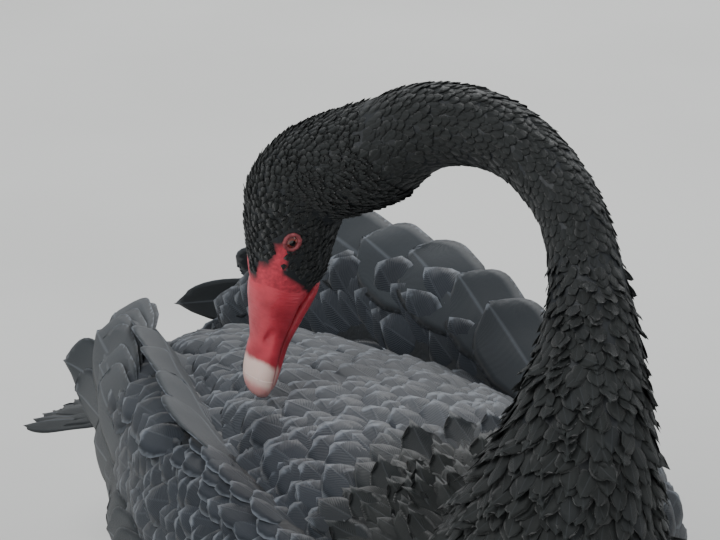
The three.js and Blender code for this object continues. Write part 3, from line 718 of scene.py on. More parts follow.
class SwanStage(bpy.types.PropertyGroup):
    azimuth: angle_property("Azimuth", "Camera's turn from the bird's right side", math.radians(65))
    elevation: angle_property("Elevation", "Camera's height as an angle", math.radians(18))
    distance: bpy.props.FloatProperty(name="Distance", description="Camera to the bill's tip", default=2.6,
                                      min=0.5, unit="LENGTH")
    pixels_per_metre: bpy.props.FloatProperty(name="Scale", description="Picture scale at the bill's tip",
                                              default=1820.0, min=100.0)
    bill_pixel: bpy.props.FloatVectorProperty(name="Bill's tip", default=(249.0, 397.0), size=2,
                                              description="Place in the picture that frames the bill's tip")


def colours():
    return bpy.context.scene.swan_colours


def random_numbers(offset):
    return np.random.default_rng(bpy.context.scene.swan_coat.seed * 100 + offset)


# Lofts of the body, and how the feathers lie on them

def eased(first, last, count):
    """Values from first to last, closer together at both ends."""
    return first + (last - first) * (1 - np.cos(np.linspace(0, np.pi, count))) / 2


def rings_of_body():
    """Each loft's name, its rings, and its ways up and to the side; None where the loft bends."""
    torso = [torso_point(x, circle(BODY_SIDES), -TORSO_SHRINK)
             for x in eased(TORSO[0][0], TORSO[-1][0], BODY_RINGS)]
    neck = [NECK_LINE.ring(share, circle(LIMB_SIDES), DORSAL, -NECK_SHRINK)
            for share in np.linspace(0.02, 1, NECK_RINGS)]
    lofts = [("torso", torso, (0, 0, 1), (0, 1, 0)), ("neck", neck, DORSAL, None),
             ("head", head_rings(HEAD_RINGS, HEAD_SIDES, HEAD_SHRINK), DORSAL, None)]
    for side in (1, -1):
        wing = [wing_point(side, x, circle(LIMB_SIDES), -WING_SHRINK) for x in eased(*WING_REACH, WING_RINGS)]
        lofts.append((side, wing, (0, 0, 1), (0, side, 0)))
    return [(name, np.array(rings), up, side) for name, rings, up, side in lofts]


REGIONS = (  # name, spacing of the feathers' roots, kinds, stray, slot
    ("head_feathers", 2.5, (0, 1), 0.14, "neck_feathers"),
    ("neck_feathers_upper", 3.3, (0, 1), 0.2, "neck_feathers"),
    ("neck_feathers_lower", 4.4, (1, 1, 3), 0.3, "neck_feathers"),
    ("neck_root_feathers", 5.6, (1, 1, 2, 3), 0.36, "neck_feathers"),
    ("mantle_feathers", 6.6, (1, 1, 2, 3), 0.3, "neck_feathers"),
    ("back_feathers", 9.0, (0, 1, 1), 0.16, "body_feathers"),
    ("breast_feathers", 9.6, (0, 1), 0.12, "body_feathers"),
    ("coverts_left", 9.6, (0, 1, 1), 0.14, "body_feathers"),
    ("coverts_right", 9.6, (0, 1, 1), 0.14, "body_feathers"),
)
(ON_HEAD, ON_NECK_UPPER, ON_NECK_LOWER, ON_NECK_ROOT, ON_MANTLE, ON_BACK, ON_BREAST, ON_LEFT,
 ON_RIGHT) = range(9)
FIELDS = ("length", "width", "lift", "tone", "hue")
LOFTS = ["torso", "neck", "head", 1, -1]
MANTLE_CENTRE = (214, 6, 214)
MANTLE_LENGTH, MANTLE_WIDTH = 27, 21
MANTLE_EDGE = (84, 128)  # distances from its centre between which the mantle ends
MANTLE_FOOT = (158, 186)  # heights between which it begins
WING_MIDDLE = (95, 150)  # how far out and how high the middle of a folded wing lies


def smooth_step(value, low, high):
    t = np.clip((value - low) / (high - low), 0, 1)
    return t * t * (3 - 2 * t)


def mantle_blend(plain, mantle, ruffle):
    """Length, width and lift of feathers whose plain length gives way to the mantle's."""
    return dict(length=plain * (1 - mantle) + MANTLE_LENGTH * mantle,
                width=plain * 0.9 * (1 - mantle) + MANTLE_WIDTH * mantle,
                lift=0.13 + (ruffle - 0.32) * mantle)


def feather_values(name, points, share, step, ruffle):
    """The way ahead, region, sizes and tones of the feathers on one loft."""
    x, y, z = points[..., 0], points[..., 1], points[..., 2]
    from_root = np.linalg.norm(points - np.array(MANTLE_CENTRE), axis=-1)
    mantle = (1 - smooth_step(from_root, *MANTLE_EDGE)) * smooth_step(z, *MANTLE_FOOT)
    away = unit(points - np.array(MANTLE_CENTRE))
    if name == "head":
        size = 4.8 + 3.2 * share
        return dict(ahead=step, region=ON_HEAD, length=size, width=size * 0.78, lift=0.17 + 0.04 * share,
                    tone=0.95, hue=0.0)
    if name == "neck":
        low = np.clip((0.56 - share) / 0.46, 0, 1)
        size = 8.4 + 17 * low ** 1.2
        region = np.where(share > 0.36, ON_NECK_LOWER, ON_NECK_ROOT)
        region = np.where(share > 0.56, ON_NECK_UPPER, region)
        smooth = 1 - smooth_step(x - 0.5 * (z - 200), 228, 258) * 0.75
        return dict(ahead=-step, region=region, length=size, width=size * (0.8 - 0.08 * low),
                    lift=0.19 + (ruffle - 0.25) * low * smooth, tone=0.9 + 0.15 * low, hue=0.02 + 0.08 * low)
    if name == "torso":
        top = smooth_step(z, 90, 190)
        front = smooth_step(x, 150, 225)
        ahead = unit(-step * (1 - 0.6 * mantle)[..., None] + away * (0.9 * mantle)[..., None]
                     + np.array([0, 0, -0.55]) * front[..., None])
        region = np.where(mantle > 0.5, ON_MANTLE, np.where(z > 150, ON_BACK, ON_BREAST))
        plain = 24 + 13 * top - 4 * front
        return dict(ahead=ahead, region=region, **mantle_blend(plain, mantle, ruffle),
                    tone=0.85 + 0.25 * top, hue=(0.12 + 0.85 * top * (1 - 0.6 * front)) * (1 - mantle))
    degrees = np.degrees(np.arctan2(z - WING_MIDDLE[1], name * y - WING_MIDDLE[0]))
    rear = smooth_step(-x, -100, 140)
    turn = 0.1 + 0.3 * smooth_step(degrees, 40, 120)
    round_way = unit(np.roll(points, -1, 1) - points)
    ahead = unit(step - round_way * turn[..., None])
    ahead = unit(ahead * (1 - 0.6 * mantle)[..., None] + away * (0.9 * mantle)[..., None])
    region = np.where(mantle > 0.5, ON_MANTLE, ON_LEFT if name > 0 else ON_RIGHT)
    plain = 27 + 12 * rear
    low = smooth_step(-degrees, -20, 30)
    return dict(ahead=ahead, region=region, **mantle_blend(plain, mantle, ruffle),
                tone=1.05 - 0.2 * low, hue=(1 - 0.4 * low) * (1 - mantle))


class Lie:
    """How feathers lie: samples over the lofts with the way ahead, the region and the feathers' sizes."""

    def __init__(self, ruffle):
        columns = {}
        for name, rings, up, side in rings_of_body():
            count, sides = rings.shape[:2]
            middle = rings.mean(1)[:, None]
            step = unit(np.gradient(rings, axis=0))
            if side is None:
                way = unit(np.gradient(middle, axis=0))
                up = across(up, way)
                side = np.cross(up, way)
            share = np.repeat(np.linspace(0, 1, count)[:, None], sides, 1)
            ways = dict(point=rings, middle=middle, up=up, side=side)
            values = feather_values(name, rings, share, step, ruffle)
            for key, rows in (ways | values | dict(along=share, loft=LOFTS.index(name))).items():
                shape = rings.shape if key in ways or key == "ahead" else share.shape
                rows = np.broadcast_to(np.asarray(rows, float), shape)
                columns.setdefault(key, []).append(rows.reshape(count * sides, -1))
        self.data = {key: np.vstack(rows) for key, rows in columns.items()}
        self.tree = KDTree(len(self.data["point"]))
        for i, point in enumerate(self.data["point"]):
            self.tree.insert(point, i)
        self.tree.balance()

    def at(self, points, near=6):
        """Values at points of the skin, eased between the nearest samples."""
        found = [self.tree.find_n(Vector(p), near) for p in points]
        index = np.array([[f[1] for f in row] for row in found])
        weight = 1 / (np.array([[f[2] for f in row] for row in found]) + 1.5) ** 2
        weight /= weight.sum(1, keepdims=True)
        values = {key: (self.data[key][index] * weight[..., None]).sum(1) for key in ("ahead", *FIELDS)}
        first = index[:, 0]
        same = (self.data["loft"][index][..., 0] == self.data["loft"][first]) * weight
        values["along"] = (self.data["along"][index][..., 0] * same).sum(1) / same.sum(1)
        values["region"] = self.data["region"][first, 0].astype(int)
        values["loft"] = self.data["loft"][first, 0].astype(int)
        away = points - self.data["middle"][first]
        out, up = (np.sum(away * self.data[key][first], 1) for key in ("side", "up"))
        values["round"] = np.arctan2(out, up) / (2 * math.pi) + 0.5
        return values


# Skin

SKIN = {}  # the skin, how feathers lie on it, and what its coats share


def shared(key, make):
    """What several pieces share, made when the first of them asks for it."""
    if key not in SKIN:
        SKIN[key] = make()
    return SKIN[key]


class SWAN_OT_skin(bpy.types.Operator):
    """One skin over body, neck, head and wings, a coat's depth inside the solids"""
    bl_idname = "swan.skin"
    bl_label = "Skin"

    def execute(self, context):
        obj = new_object("skin", *joined([loft(rings) for _, rings, _, _ in rings_of_body()]))
        obj = voxel_skin(obj, SKIN_VOXEL, 4, 0.5)
        mesh = obj.data
        point_values(mesh, {"bare": bare_share(coordinates(mesh.vertices, "co") / MM)})
        SKIN["lie"] = Lie(context.scene.swan_coat.ruffle)
        found = SKIN["lie"].at(coordinates(mesh.polygons, "center") / MM, 1)["region"]
        mesh.attributes.new("region", "INT", "FACE").data.foreach_set("value", found.astype(np.int32))
        SKIN["tree"] = BVHTree.FromObject(obj, bpy.context.evaluated_depsgraph_get())
        SKIN["skin"] = obj
        finish_piece(obj, "body_feathers", skin_material(colours()),
                     replaces=("torso", "neck_lower", "neck_middle", "neck_upper", "head"))
        return {"FINISHED"}


# Small feathers

KINDS = (  # name, columns, ragged, pointed, bend
    ("a_round", 5, 0.04, 0.0, 0.06), ("b_fluffy", 5, 0.1, 0.05, 0.09),
    ("c_pointed", 5, 0.12, 0.22, 0.04), ("d_curled", 5, 0.12, 0.15, -0.12),
    ("e_short", 3, 0.06, 0.05, 0.05), ("f_short_ragged", 3, 0.14, 0.1, 0.0),
)
SHORT = 4  # where the kinds of few faces begin, for the head
VANE_CLEAR = (1.2, 26)  # how low and how high over a root a vane counts as lying over it
EYE_CLEAR, EYE_REACH = 5.6, 24  # bare ring round an eye, and how far out its skin is sought from
LOWEST_ROOT = 5  # no feather grows lower than this over the floor
DENSEST = 400000.0  # roots to the square metre at most, before they are thinned to their spacing


def root_tree():
    """Points spread over one region of the skin, at least a spacing apart."""
    t = Growth("feather_roots", {"Skin": "Geometry", "Region": "Int", "Spacing": "Float",
                                 "Seed": "Int"}, "Roots")
    same = t.node("FunctionNodeCompare", data_type="INT", operation="EQUAL")
    ints = [socket for socket in same.inputs if socket.type == "INT"]
    t.feed(ints[0], t.named("region", "INT"))
    t.feed(ints[1], t.entry["Region"])
    spread = t.node("GeometryNodeDistributePointsOnFaces", distribute_method="POISSON")
    for key, value in (("Mesh", t.entry["Skin"]), ("Selection", same.outputs["Result"]),
                       ("Distance Min", t.entry["Spacing"]), ("Density Max", DENSEST),
                       ("Seed", t.entry["Seed"])):
        t.feed(spread.inputs[key], value)
    stored = t.grown("StoreNamedAttribute", {"Name": "out"}, data_type="FLOAT_VECTOR")
    t.feed(stored.node.inputs["Geometry"], spread.outputs["Points"])
    t.feed(stored.node.inputs["Value"], spread.outputs["Normal"])
    return t.ended(t.grown("PointsToVertices", {"Points": stored}))


def feather_roots(region, spacing, seed):
    """Roots and their outward normals on one region, in millimetres."""
    spots = bpy.data.objects.new("spots", SKIN["skin"].data.copy())
    bpy.context.scene.collection.objects.link(spots)
    values = {"Region": region, "Spacing": spacing * MM, "Seed": seed}
    mesh = grow_on(spots, shared("roots", root_tree), values).data
    points, out = coordinates(mesh.vertices, "co"), coordinates(mesh.attributes["out"].data, "vector")
    bpy.data.objects.remove(spots)
    return points / MM, unit(out)


def feather_kinds():
    """The collection of small feathers that every coat piece draws from."""
    kinds = bpy.data.collections.new("feather_kinds")
    for i, (name, cols, ragged, pointed, bend) in enumerate(KINDS):
        kinds.objects.link(small_feather(name, cols, ragged, i + 1, pointed, bend))
    return kinds


FINISHES = {  # colour of the middle, where the rim begins, barbs, sheen, weight of the shaft
    "small_feathers": ("back", 0.55, 150.0, 0.15, 0.08), "large_vanes": ("vane", 0.86, 420.0, 0.1, 0.35),
}


def feather_finish(name):
    """The material that all feathers of one finish share."""
    c = colours()
    middle, *values = FINISHES[name]
    return shared(name, lambda: feather_material(name, getattr(c, middle), c.back_rim, c.neck, *values))


class SWAN_OT_small_feathers(bpy.types.Operator):
    """Small feathers of the head, neck, mantle, back, breast and wings, each region one piece"""
    bl_idname = "swan.small_feathers"
    bl_label = "Small feathers"

    def execute(self, context):
        seed = context.scene.swan_coat.seed
        for region, (name, spacing, kinds, stray, slot) in enumerate(REGIONS):
            rng = random_numbers(region)
            roots, normals = feather_roots(region, spacing, seed + region)
            lie = SKIN["lie"].at(roots)
            keep = np.full(len(roots), True)
            if region == ON_HEAD:
                eyes = [np.linalg.norm(roots - eye_place(side)[0], axis=1) for side in (1, -1)]
                keep = (bare_share(roots) < 0.4) & (np.minimum(*eyes) > EYE_CLEAR)
                kinds = (SHORT, SHORT + 1)
            if region in (ON_LEFT, ON_RIGHT, ON_BACK):
                keep &= ~under_vanes(roots, normals)
            keep &= roots[:, 2] > LOWEST_ROOT
            patch = np.empty((len(roots), 2))
            for number, loft_name in enumerate(LOFTS):
                mine = lie["loft"] == number
                patch[mine] = patch_in(PATCHES[loft_name], lie["along"][mine], lie["round"][mine])
            kept = {key: lie[key][keep] for key in ("ahead", *FIELDS)}
            obj = coat_piece(name, roots[keep], normals[keep], kept, patch[keep], rng, list(kinds), stray)
            finish_piece(obj, slot, feather_finish("small_feathers"))
        return {"FINISHED"}


def under_vanes(roots, normals):
    """Which roots a large vane lies over, so that no small feather pokes through it."""
    low, high = VANE_CLEAR

    def covered(root, normal):
        start = Vector(root + normal * low) * MM
        return any(tree.ray_cast(start, Vector(normal), high * MM)[0] is not None for tree in SKIN["covers"])

    return np.array([covered(root, normal) for root, normal in zip(roots, normals)])


def eye_place(side):
    """The eye's place on the skin, with its way out, up and back."""
    outside = head_point(EYE_BACK, EYE_DORSAL, side * EYE_REACH)
    place, out, _, _ = SKIN["tree"].find_nearest(Vector(outside) * MM)
    out = unit(np.array(out))
    up = across(DORSAL, out)
    return np.array(place) / MM, out, up, np.cross(up, out)


# Large vanes

WING_TIERS = (  # count, x from-to, degrees round from-to, length, width, lift, curl, turn
    (6, (-190, -234), (-16, 34), (172, 152), (27, 30), 0.05, -0.12, 0.02),
    (12, (80, -184), (-36, -24), (90, 118), (36, 34), 0.1, -0.16, -0.2),
    (12, (116, -160), (0, 2), (64, 86), (36, 40), 0.13, -0.18, -0.12),
    (7, (-90, -208), (30, 66), (128, 128), (50, 50), 0.09, -0.06, 0.02),
    (5, (20, -150), (112, 118), (80, 84), (48, 52), 0.06, -0.05, -0.12),
)
RUFFLED = (  # side, x, degrees round, length, width, lift, curl, turn
    (1, -266, 48, 84, 48, 0.3, 0.8, 0.25), (-1, -238, 6, 88, 46, 0.15, 0.45, 0.05),
    (-1, -224, -16, 94, 46, 0.12, 0.36, 0.0), (-1, -192, -50, 62, 44, 0.06, 0.15, -0.05),
)
TAIL_COUNT, TAIL_FAN, TAIL_DROOP = 15, 0.44, 0.27
TAIL_LENGTH, TAIL_WIDTH, TAIL_REACH = 122, 30, 17
VANE_ROWS, VANE_COLS = 16, 9
VANE_EARLY = 4  # how far before its place, against its own way, a wing's vane begins
MAP_ROUND = (-60, 260)  # on the OFBake map: lowest angle round the wing, degrees covered


def large_vane(root, ahead, normal, length, width, lift, curl, tone, hue, patch, rng, pointed=0.0):
    """Points, faces and values of a vane that leaves its root along `ahead` and bends by `curl`."""
    start = ahead * math.cos(lift) + normal * math.sin(lift)
    up = normal * math.cos(lift) - ahead * math.sin(lift)
    side = np.cross(start, up)
    bend = curl if abs(curl) > 1e-3 else 1e-3
    s = np.linspace(0, 1, VANE_ROWS) ** 0.85
    share = np.linspace(-1, 1, VANE_COLS)
    centre = (root + np.outer(length * np.sin(bend * s) / bend, start)
              + np.outer(length * (1 - np.cos(bend * s)) / bend, up))
    face = np.outer(np.cos(bend * s), up) - np.outer(np.sin(bend * s), start)
    along_way = np.outer(np.cos(bend * s), start) + np.outer(np.sin(bend * s), up)
    round_end = np.sqrt(np.clip(1 - (np.clip(s - 0.66, 0, 1) / 0.345) ** 2, 0.02, 1))
    half = width / 2 * (0.5 + 0.5 * np.clip(s / 0.4, 0, 1) ** 0.7) * round_end * (1 - pointed * s ** 2)
    wave = 0.9 * np.sin(s[:, None] * 9 + rng.uniform(0, 6) + share[None, :] * 2) * s[:, None]
    drop = 0.17 * width * np.abs(share[None, :]) ** 1.7 * (half[:, None] / (width / 2)) * 0.5
    shaft = 0.55 * (np.abs(share[None, :]) < 0.01) * (1 - 0.7 * s[:, None])
    fray = rng.uniform(-1, 0.4, VANE_COLS) * 0.02 * length * (s[:, None] ** 6)
    sweep = -0.035 * length * np.abs(share[None, :]) ** 2 * s[:, None]
    sheet = (centre[:, None, :] + side * (half[:, None, None] * share[None, :, None])
             + face[:, None, :] * (wave - drop + shaft)[..., None]
             + along_way[:, None, :] * (fray + sweep)[..., None])
    faces, corners = shell_faces(VANE_ROWS, VANE_COLS)
    points = shell_points(sheet, face[:, None], (1.0 - 0.6 * s)[:, None, None])
    grid = np.stack([np.tile(share / 2 + 0.5, VANE_ROWS), np.repeat(s, VANE_COLS)], -1)
    return dict(points=points, faces=faces, uv=grid[corners.ravel()], tone=np.full(len(points), tone),
                hue=np.full(len(points), hue), patch=np.tile([*np.ravel(patch), 0.0], (len(points), 1)))


def vanes_piece(name, vanes, replaces):
    """One mesh piece of several large vanes."""
    for i, vane in enumerate(vanes):
        vane["faces"] = vane["faces"] + i * len(vane["points"])
    data = {key: np.concatenate([vane[key] for vane in vanes]) for key in vanes[0]}
    obj = new_object(name, data["points"], data["faces"])
    obj.data.uv_layers.new(name="vane").data.foreach_set("uv", data["uv"].ravel())
    point_values(obj.data, {key: data[key] for key in ("tone", "hue", "patch")})
    bake_map(obj.data)
    finish_piece(obj, "wing_feathers", feather_finish("large_vanes"), replaces=(replaces,))
    return obj


def mixed(ends, share):
    return ends[0] + (ends[1] - ends[0]) * share


class SWAN_OT_wing_vanes(bpy.types.Operator):
    """Flight feathers, tertials, greater coverts and the raised feathers of both wings"""
    bl_idname = "swan.wing_vanes"
    bl_label = "Wing vanes"

    def execute(self, context):
        for side, name in ((1, "left"), (-1, "right")):
            rng = random_numbers(20 + side)
            vanes = []
            for tier, (count, x, degrees, length, width, lift, curl, turn) in enumerate(WING_TIERS):
                for i in range(count):
                    share = i / (count - 1)
                    vanes.append(wing_vane(
                        rng, side, mixed(x, share), mixed(degrees, share) + rng.normal(0, 1.2),
                        mixed(length, share) * rng.uniform(0.95, 1.05),
                        mixed(width, share) * rng.uniform(0.95, 1.08),
                        lift * rng.uniform(0.85, 1.2), curl * rng.uniform(0.7, 1.2),
                        turn + rng.normal(0, 0.03), rng.uniform(0.85, 1.15), 0.55 if tier < 3 else 0.85))
            vanes += [wing_vane(rng, side, *sizes, 1.05, 0.7) for own, *sizes in RUFFLED if own == side]
            obj = vanes_piece("wing_vanes_" + name, vanes, "wing_" + name)
            shape = BVHTree.FromObject(obj, bpy.context.evaluated_depsgraph_get())
            SKIN.setdefault("covers", []).append(shape)
        return {"FINISHED"}


def wing_vane(rng, side, x, degrees, length, width, lift, curl, turn, tone, hue):
    """One vane rooted on the wing's core at x and an angle round it."""
    frame_there = wing_frame(side, np.array([x]), np.radians([degrees]), -WING_SHRINK)
    point, normal, back, round_way = (rows[0] for rows in frame_there)
    ahead = unit(back * math.cos(turn) + round_way * math.sin(turn))
    share = (WING_REACH[0] - x) / (WING_REACH[0] - WING_REACH[1])
    patch = patch_in(PATCHES[("vanes", side)], share, (degrees - MAP_ROUND[0]) / MAP_ROUND[1])
    root = point - ahead * VANE_EARLY
    return large_vane(root, ahead, across(normal, ahead), length, width, lift, curl, tone, hue, patch, rng)


class SWAN_OT_tail_vanes(bpy.types.Operator):
    """Fan of tail feathers"""
    bl_idname = "swan.tail_vanes"
    bl_label = "Tail vanes"

    def execute(self, context):
        rng = random_numbers(30)
        vanes = []
        middle = (TAIL_COUNT - 1) / 2
        for i in range(TAIL_COUNT):
            share = (i - middle) / middle
            angle = share * TAIL_FAN
            ahead = unit([-math.cos(angle), math.sin(angle), -TAIL_DROOP])
            normal = across(np.array([0, 0.12 * share, 1.0]), ahead)
            root = np.array([TAIL_ROOT[0], TAIL_REACH * share, TAIL_ROOT[2] + 4 - 1.5 * abs(i - middle)])
            patch = patch_in(PATCHES["tail"], 0.5, i / TAIL_COUNT)
            vanes.append(large_vane(root, ahead, normal, TAIL_LENGTH - 14 * share ** 2 + rng.normal(0, 1.5),
                                    TAIL_WIDTH, 0.02, -0.1, rng.uniform(0.8, 1.05), 0.4, patch, rng, 0.1))
        vanes_piece("tail_vanes", vanes, "tail")
        return {"FINISHED"}


# Bill

BILL_SIDES = 56
NOSTRIL_BACK, NOSTRIL_UP, NAIL_STEP = 37, 3.0, 16  # NAIL_STEP is the dip behind the nail


def bill_piece(name, rows, round_top, first, last, count, slot, material, replaces):
    """Fine loft of one part of the bill, with its map: share of the bill's length, and level round it."""
    angle = 2 * np.pi * np.arange(BILL_SIDES) / BILL_SIDES
    level, across_way = np.cos(angle), np.sin(angle)
    backs = np.linspace(first, last, count)
    rings = []
    for back, (top, bottom, half) in zip(backs, along(rows, backs)):
        middle = bottom + (top - bottom) * (0.32 if round_top else 0.68)
        height = np.where(level > 0, top - middle, middle - bottom)
        up = middle + height * np.sign(level) * np.abs(level) ** 0.9
        out = half * np.sign(across_way) * np.abs(across_way) ** 0.8
        if round_top:
            pit = np.exp(-((back - NOSTRIL_BACK) / 5) ** 2 - ((up - NOSTRIL_UP) / 1.6) ** 2) * (level > 0)
            out = out * (1 - 0.22 * pit)
            up = up - 0.25 * np.exp(-((back - NAIL_STEP) / 5) ** 2) * (level > 0.8)
        rings.append(head_point(back + 0 * angle, up, out))
    obj = new_object(name, *loft(rings))
    back = np.append(np.repeat(backs, BILL_SIDES), [first, last]) / BILL_LENGTH
    levels = np.append(np.tile(level, count), [0, 0])
    uv = np.stack([back, levels], -1)[corner_points(obj.data)]
    obj.data.uv_layers.new(name="horn").data.foreach_set("uv", uv.ravel())
    finish_piece(obj, slot, material, replaces=(replaces,))


class SWAN_OT_bill(bpy.types.Operator):
    """Upper bill with its nostrils, pale nail and lower bill"""
    bl_idname = "swan.bill"
    bl_label = "Bill"

    def execute(self, context):
        c = colours()
        horn = bill_material("bill_horn", c.bill, c.bill_deep, c.nail)
        bill_piece("upper_bill", UPPER_BILL, True, 12.6, 72, 64, "bill_red", horn, "bill_upper")
        bill_piece("nail", UPPER_BILL, True, 0.6, 13.3, 24, "bill_white", horn, "bill_nail")
        bill_piece("lower_bill", LOWER_BILL, False, 4, 72, 54, "bill_red", horn, "bill_lower")
        return {"FINISHED"}


# Eyes

EYE_OUT = 1.5  # how far the ball stands out of the skin
PUPIL_EDGE, IRIS_EDGE = 21, 44  # degrees from the eye's middle
LID_REACH, LID_THICK, LID_RAISED = (4.7, 3.9), 1.15, 0.25


class SWAN_OT_eyes(bpy.types.Operator):
    """Eyes with pupil and iris, and their bare red lids"""
    bl_idname = "swan.eyes"
    bl_label = "Eyes"

    def execute(self, context):
        c = colours()
        finishes = []
        for name, colour, second in (("pupil", (0.002, 0.002, 0.002), (0.003, 0.002, 0.002)),
                                     ("iris", c.iris, (0.2, 0.02, 0.012)),
                                     ("eye_rim", (0.012, 0.006, 0.006), (0.02, 0.01, 0.01))):
            finishes.append(plain_material(name, colour, second, 0.05, 900.0, 0.02, 1.0))
        lid_skin = plain_material("lid_skin", (0.3, 0.06, 0.07), (0.15, 0.03, 0.035), 0.5, 600.0, 0.5)
        for side, name in ((1, "left"), (-1, "right")):
            place, out, up, back = eye_place(side)
            centre = place - out * (EYE_RADIUS - EYE_OUT)
            turns = circle(40)
            round_way = np.outer(np.cos(turns), back) + np.outer(np.sin(turns), up)
            polars = np.linspace(0.02, np.pi - 0.02, 40)
            rings = [centre + EYE_RADIUS * (math.sin(polar) * round_way + math.cos(polar) * out)
                     for polar in polars]
            ball = new_object("eye_ball_" + name, *loft(rings))
            finish_piece(ball, "eye", *finishes, replaces=("eye_" + name,))
            for face in ball.data.polygons:
                away = unit(np.array(face.center) / MM - centre)
                level = math.degrees(math.acos(min(1, away @ out)))
                face.material_index = 0 if level < PUPIL_EDGE else 1 if level < IRIS_EDGE else 2
            lids = []
            tube = circle(14)
            for turn in circle(56):
                way = back * math.cos(turn) + up * math.sin(turn)
                reach = math.hypot(LID_REACH[0] * math.cos(turn), LID_REACH[1] * math.sin(turn))
                thick = LID_THICK + 0.2 * math.sin(turn) ** 2 + 0.1 * math.sin(11 * turn)
                section = place + way * reach + out * LID_RAISED
                ring = np.outer(np.cos(tube), way) + 0.8 * np.outer(np.sin(tube), out)
                lids.append(section + thick * ring)
            finish_piece(ring_object("eye_lids_" + name, lids), "bill_red", lid_skin)
        return {"FINISHED"}


def ring_object(name, rings):
    """Closed ring through sections that follow one another round."""
    rings = np.asarray(rings, float)
    count, sides = rings.shape[:2]
    r, s = (g.ravel() for g in np.meshgrid(np.arange(count), np.arange(sides), indexing="ij"))
    index = lambda i, j: (i % count) * sides + j % sides
    faces = np.column_stack([index(r, s), index(r, s + 1), index(r + 1, s + 1), index(r + 1, s)])
    points = rings.reshape(-1, 3)
    centre = rings.mean(1)
    first = points[faces[0]]
    normal = np.cross(first[1] - first[0], first[2] - first[0])
    if np.dot(normal, first.mean(0) - centre[0]) < 0:
        faces = faces[:, ::-1]
    return new_object(name, points, faces)


# Feet

TOE_ROWS = (  # share of a toe's length, share of its radius: swollen at the joints
    (-0.04, 0.7), (0, 1), (0.3, 0.9), (0.33, 1.05), (0.62, 0.82), (0.66, 0.95), (0.92, 0.6), (1, 0.25),
)
TOE_RADIUS, OUTER_TOE = 4.2, 0.88
WEB_HEEL, WEB_TOP, WEB_SOLE = 7, 3.0, 0.3  # half width at the heel, height of its top and of its sole
LEG_LINE = ((92, 12, 40, 8), (56, 8, 22, 6.4), (24, 3, 10.5, 6.2), (-1, 0, 7, 6.3))  # x and y from the heel


class SWAN_OT_feet(bpy.types.Operator):
    """Legs and closed webbed feet tucked back along the belly"""
    bl_idname = "swan.feet"
    bl_label = "Feet"

    def execute(self, context):
        c = colours()
        scales = Shader("leg_scales")
        place = scales.node("TexCoord").outputs["Object"]
        cells = scales.node("TexVoronoi", {"Vector": place, "Scale": 420.0})
        edge = scales.ramp(cells.outputs["Distance"], 0.1, 0.6)
        scales.set(base_color=scales.mix(edge, rgba(c.leg, 1.8), rgba(c.leg)), roughness=0.5)
        scales.bump(edge, 0.5, 0.0006)
        heel_x, heel_y = FOOT_HEEL
        for side, name in ((1, "left"), (-1, "right")):
            parts = []
            for spread in (-1, 0, 1):
                angle = spread * FOOT_SPREAD * 1.15
                length = FOOT_LENGTH * (1 if spread == 0 else OUTER_TOE)
                rings = []
                for share in np.linspace(-0.04, 1, 40):
                    radius = TOE_RADIUS * along(TOE_ROWS, share)[0, 0]
                    turn = circle(16)
                    x = heel_x - math.cos(angle) * length * share + 0 * turn
                    y = side * heel_y + math.sin(angle) * length * share + radius * np.cos(turn)
                    rings.append(np.stack([x, y, np.maximum(0, radius * 0.92 + radius * np.sin(turn))], -1))
                parts.append(loft(rings))
            web = []
            for share in np.linspace(0, OUTER_TOE, 24):
                half = WEB_HEEL + (FOOT_LENGTH * FOOT_SPREAD - WEB_HEEL) * share / 0.8
                section = np.linspace(-1, 1, 12)
                sag = 0.6 * np.abs(np.sin(section * np.pi))
                x = heel_x - FOOT_LENGTH * share * (1 - 0.05 * np.abs(np.sin(section * np.pi)) * share)
                y = side * heel_y + half * section
                top = np.stack([x, y, WEB_TOP - sag], -1)
                web.append(np.vstack([top, np.stack([x, y, 0 * y + WEB_SOLE], -1)[::-1]]))
            parts.append(loft(web))
            leg = Line([(heel_x + x, heel_y + y, z, radius) for x, y, z, radius in LEG_LINE])
            shin = np.array([leg.ring(share, circle(20), (0, 0, 1)) for share in np.linspace(0, 1, 40)])
            shin[..., 1] *= side
            shin[..., 2] = np.maximum(shin[..., 2], 0.4)
            parts.append(loft(shin))
            obj = new_object("foot_skin_" + name, *joined(parts))
            finish_piece(voxel_skin(obj, FOOT_VOXEL, 3, 0.5), "leg_skin", scales.material,
                         replaces=("leg_" + name, "foot_" + name))
        return {"FINISHED"}


# Stage

FLOOR_REACH, FLOOR_LEVEL = 9000, -0.5
LAMPS = (  # name, place in metres, watts, size
    ("key", (0.9, -1.9, 2.3), 62.0, 1.6), ("fill", (2.2, 1.4, 1.2), 16.0, 2.0),
    ("rim", (-1.9, 1.2, 2.0), 46.0, 1.4),
)
SENSOR = 36.0  # millimetres
PICTURE = (720, 540)  # pixels


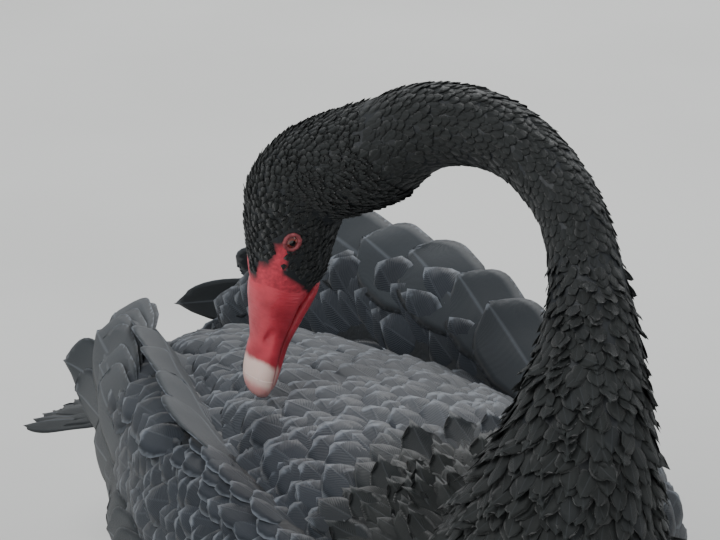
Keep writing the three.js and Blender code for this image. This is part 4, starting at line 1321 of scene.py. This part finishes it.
class SWAN_OT_stage(bpy.types.Operator):
    """Pale floor, soft studio light and the camera"""
    bl_idname = "swan.stage"
    bl_label = "Stage"

    def execute(self, context):
        stage = context.scene.swan_stage
        ends = ((-1, -1), (1, -1), (1, 1), (-1, 1))
        corners = [(x * FLOOR_REACH, y * FLOOR_REACH, FLOOR_LEVEL) for x, y in ends]
        floor = new_object("floor", corners, [(0, 1, 2, 3)], False)
        paint = plain_material("floor_paint", (0.62, 0.62, 0.6), (0.66, 0.66, 0.64), 0.7, 3.0, 0.05)
        floor.data.materials.append(paint)
        world = context.scene.world or bpy.data.worlds.new("studio")
        context.scene.world = world
        world.use_nodes = True
        world.node_tree.nodes["Background"].inputs["Color"].default_value = (0.78, 0.82, 0.86, 1)
        world.node_tree.nodes["Background"].inputs["Strength"].default_value = 0.55
        target = Vector(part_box("torso")[0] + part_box("torso")[1]) / 2
        for name, place, power, size in LAMPS:
            data = bpy.data.lights.new(name, "AREA")
            data.energy, data.size = power, size
            lamp = bpy.data.objects.new(name, data)
            lamp.location = place
            lamp.rotation_euler = (target - Vector(place)).to_track_quat("-Z", "Y").to_euler()
            context.scene.collection.objects.link(lamp)
        az, el = stage.azimuth, stage.elevation
        back = Vector((math.sin(az) * math.cos(el), -math.cos(az) * math.cos(el), math.sin(el)))
        right = Vector((math.cos(az), math.sin(az), 0))
        up = back.cross(right)
        aim = Vector(BILL_TIP) * MM
        aim += right * ((PICTURE[0] / 2 - stage.bill_pixel[0]) / stage.pixels_per_metre)
        aim += up * ((stage.bill_pixel[1] - PICTURE[1] / 2) / stage.pixels_per_metre)
        data = bpy.data.cameras.new("camera")
        data.sensor_width = SENSOR
        data.lens = SENSOR * stage.pixels_per_metre * stage.distance / PICTURE[0]
        data.clip_end = 60.0
        camera = bpy.data.objects.new("camera", data)
        camera.matrix_world = Matrix((right, up, back)).transposed().to_4x4()
        camera.location = aim + back * stage.distance
        context.scene.collection.objects.link(camera)
        context.scene.camera = camera
        return {"FINISHED"}


OPERATORS = (SWAN_OT_skin, SWAN_OT_wing_vanes, SWAN_OT_small_feathers, SWAN_OT_tail_vanes, SWAN_OT_bill,
             SWAN_OT_eyes, SWAN_OT_feet, SWAN_OT_stage)


class SWAN_PT_panel(bpy.types.Panel):
    """Sizes, colours and pieces of the swan"""
    bl_idname = "SWAN_PT_panel"
    bl_label = "Preening black swan"
    bl_space_type = "VIEW_3D"
    bl_region_type = "UI"
    bl_category = "Swan"

    def draw(self, context):
        for group in (context.scene.swan_colours, context.scene.swan_coat, context.scene.swan_stage):
            for name in group.bl_rna.properties.keys():
                if name not in ("rna_type", "name"):
                    self.layout.prop(group, name)
        for operator in OPERATORS:
            self.layout.operator(operator.bl_idname)


CLASSES = (SwanColours, SwanCoat, SwanStage, *OPERATORS, SWAN_PT_panel)
GROUPS = {"swan_colours": SwanColours, "swan_coat": SwanCoat, "swan_stage": SwanStage}


def register():
    for cls in CLASSES:
        bpy.utils.register_class(cls)
    for name, group in GROUPS.items():
        setattr(bpy.types.Scene, name, bpy.props.PointerProperty(type=group))


def unregister():
    for name in GROUPS:
        delattr(bpy.types.Scene, name)
    for cls in reversed(CLASSES):
        bpy.utils.unregister_class(cls)


def main():
    register()
    for operator in OPERATORS:
        getattr(bpy.ops.swan, operator.bl_idname.split(".")[1])()


if __name__ == "__main__":
    main()
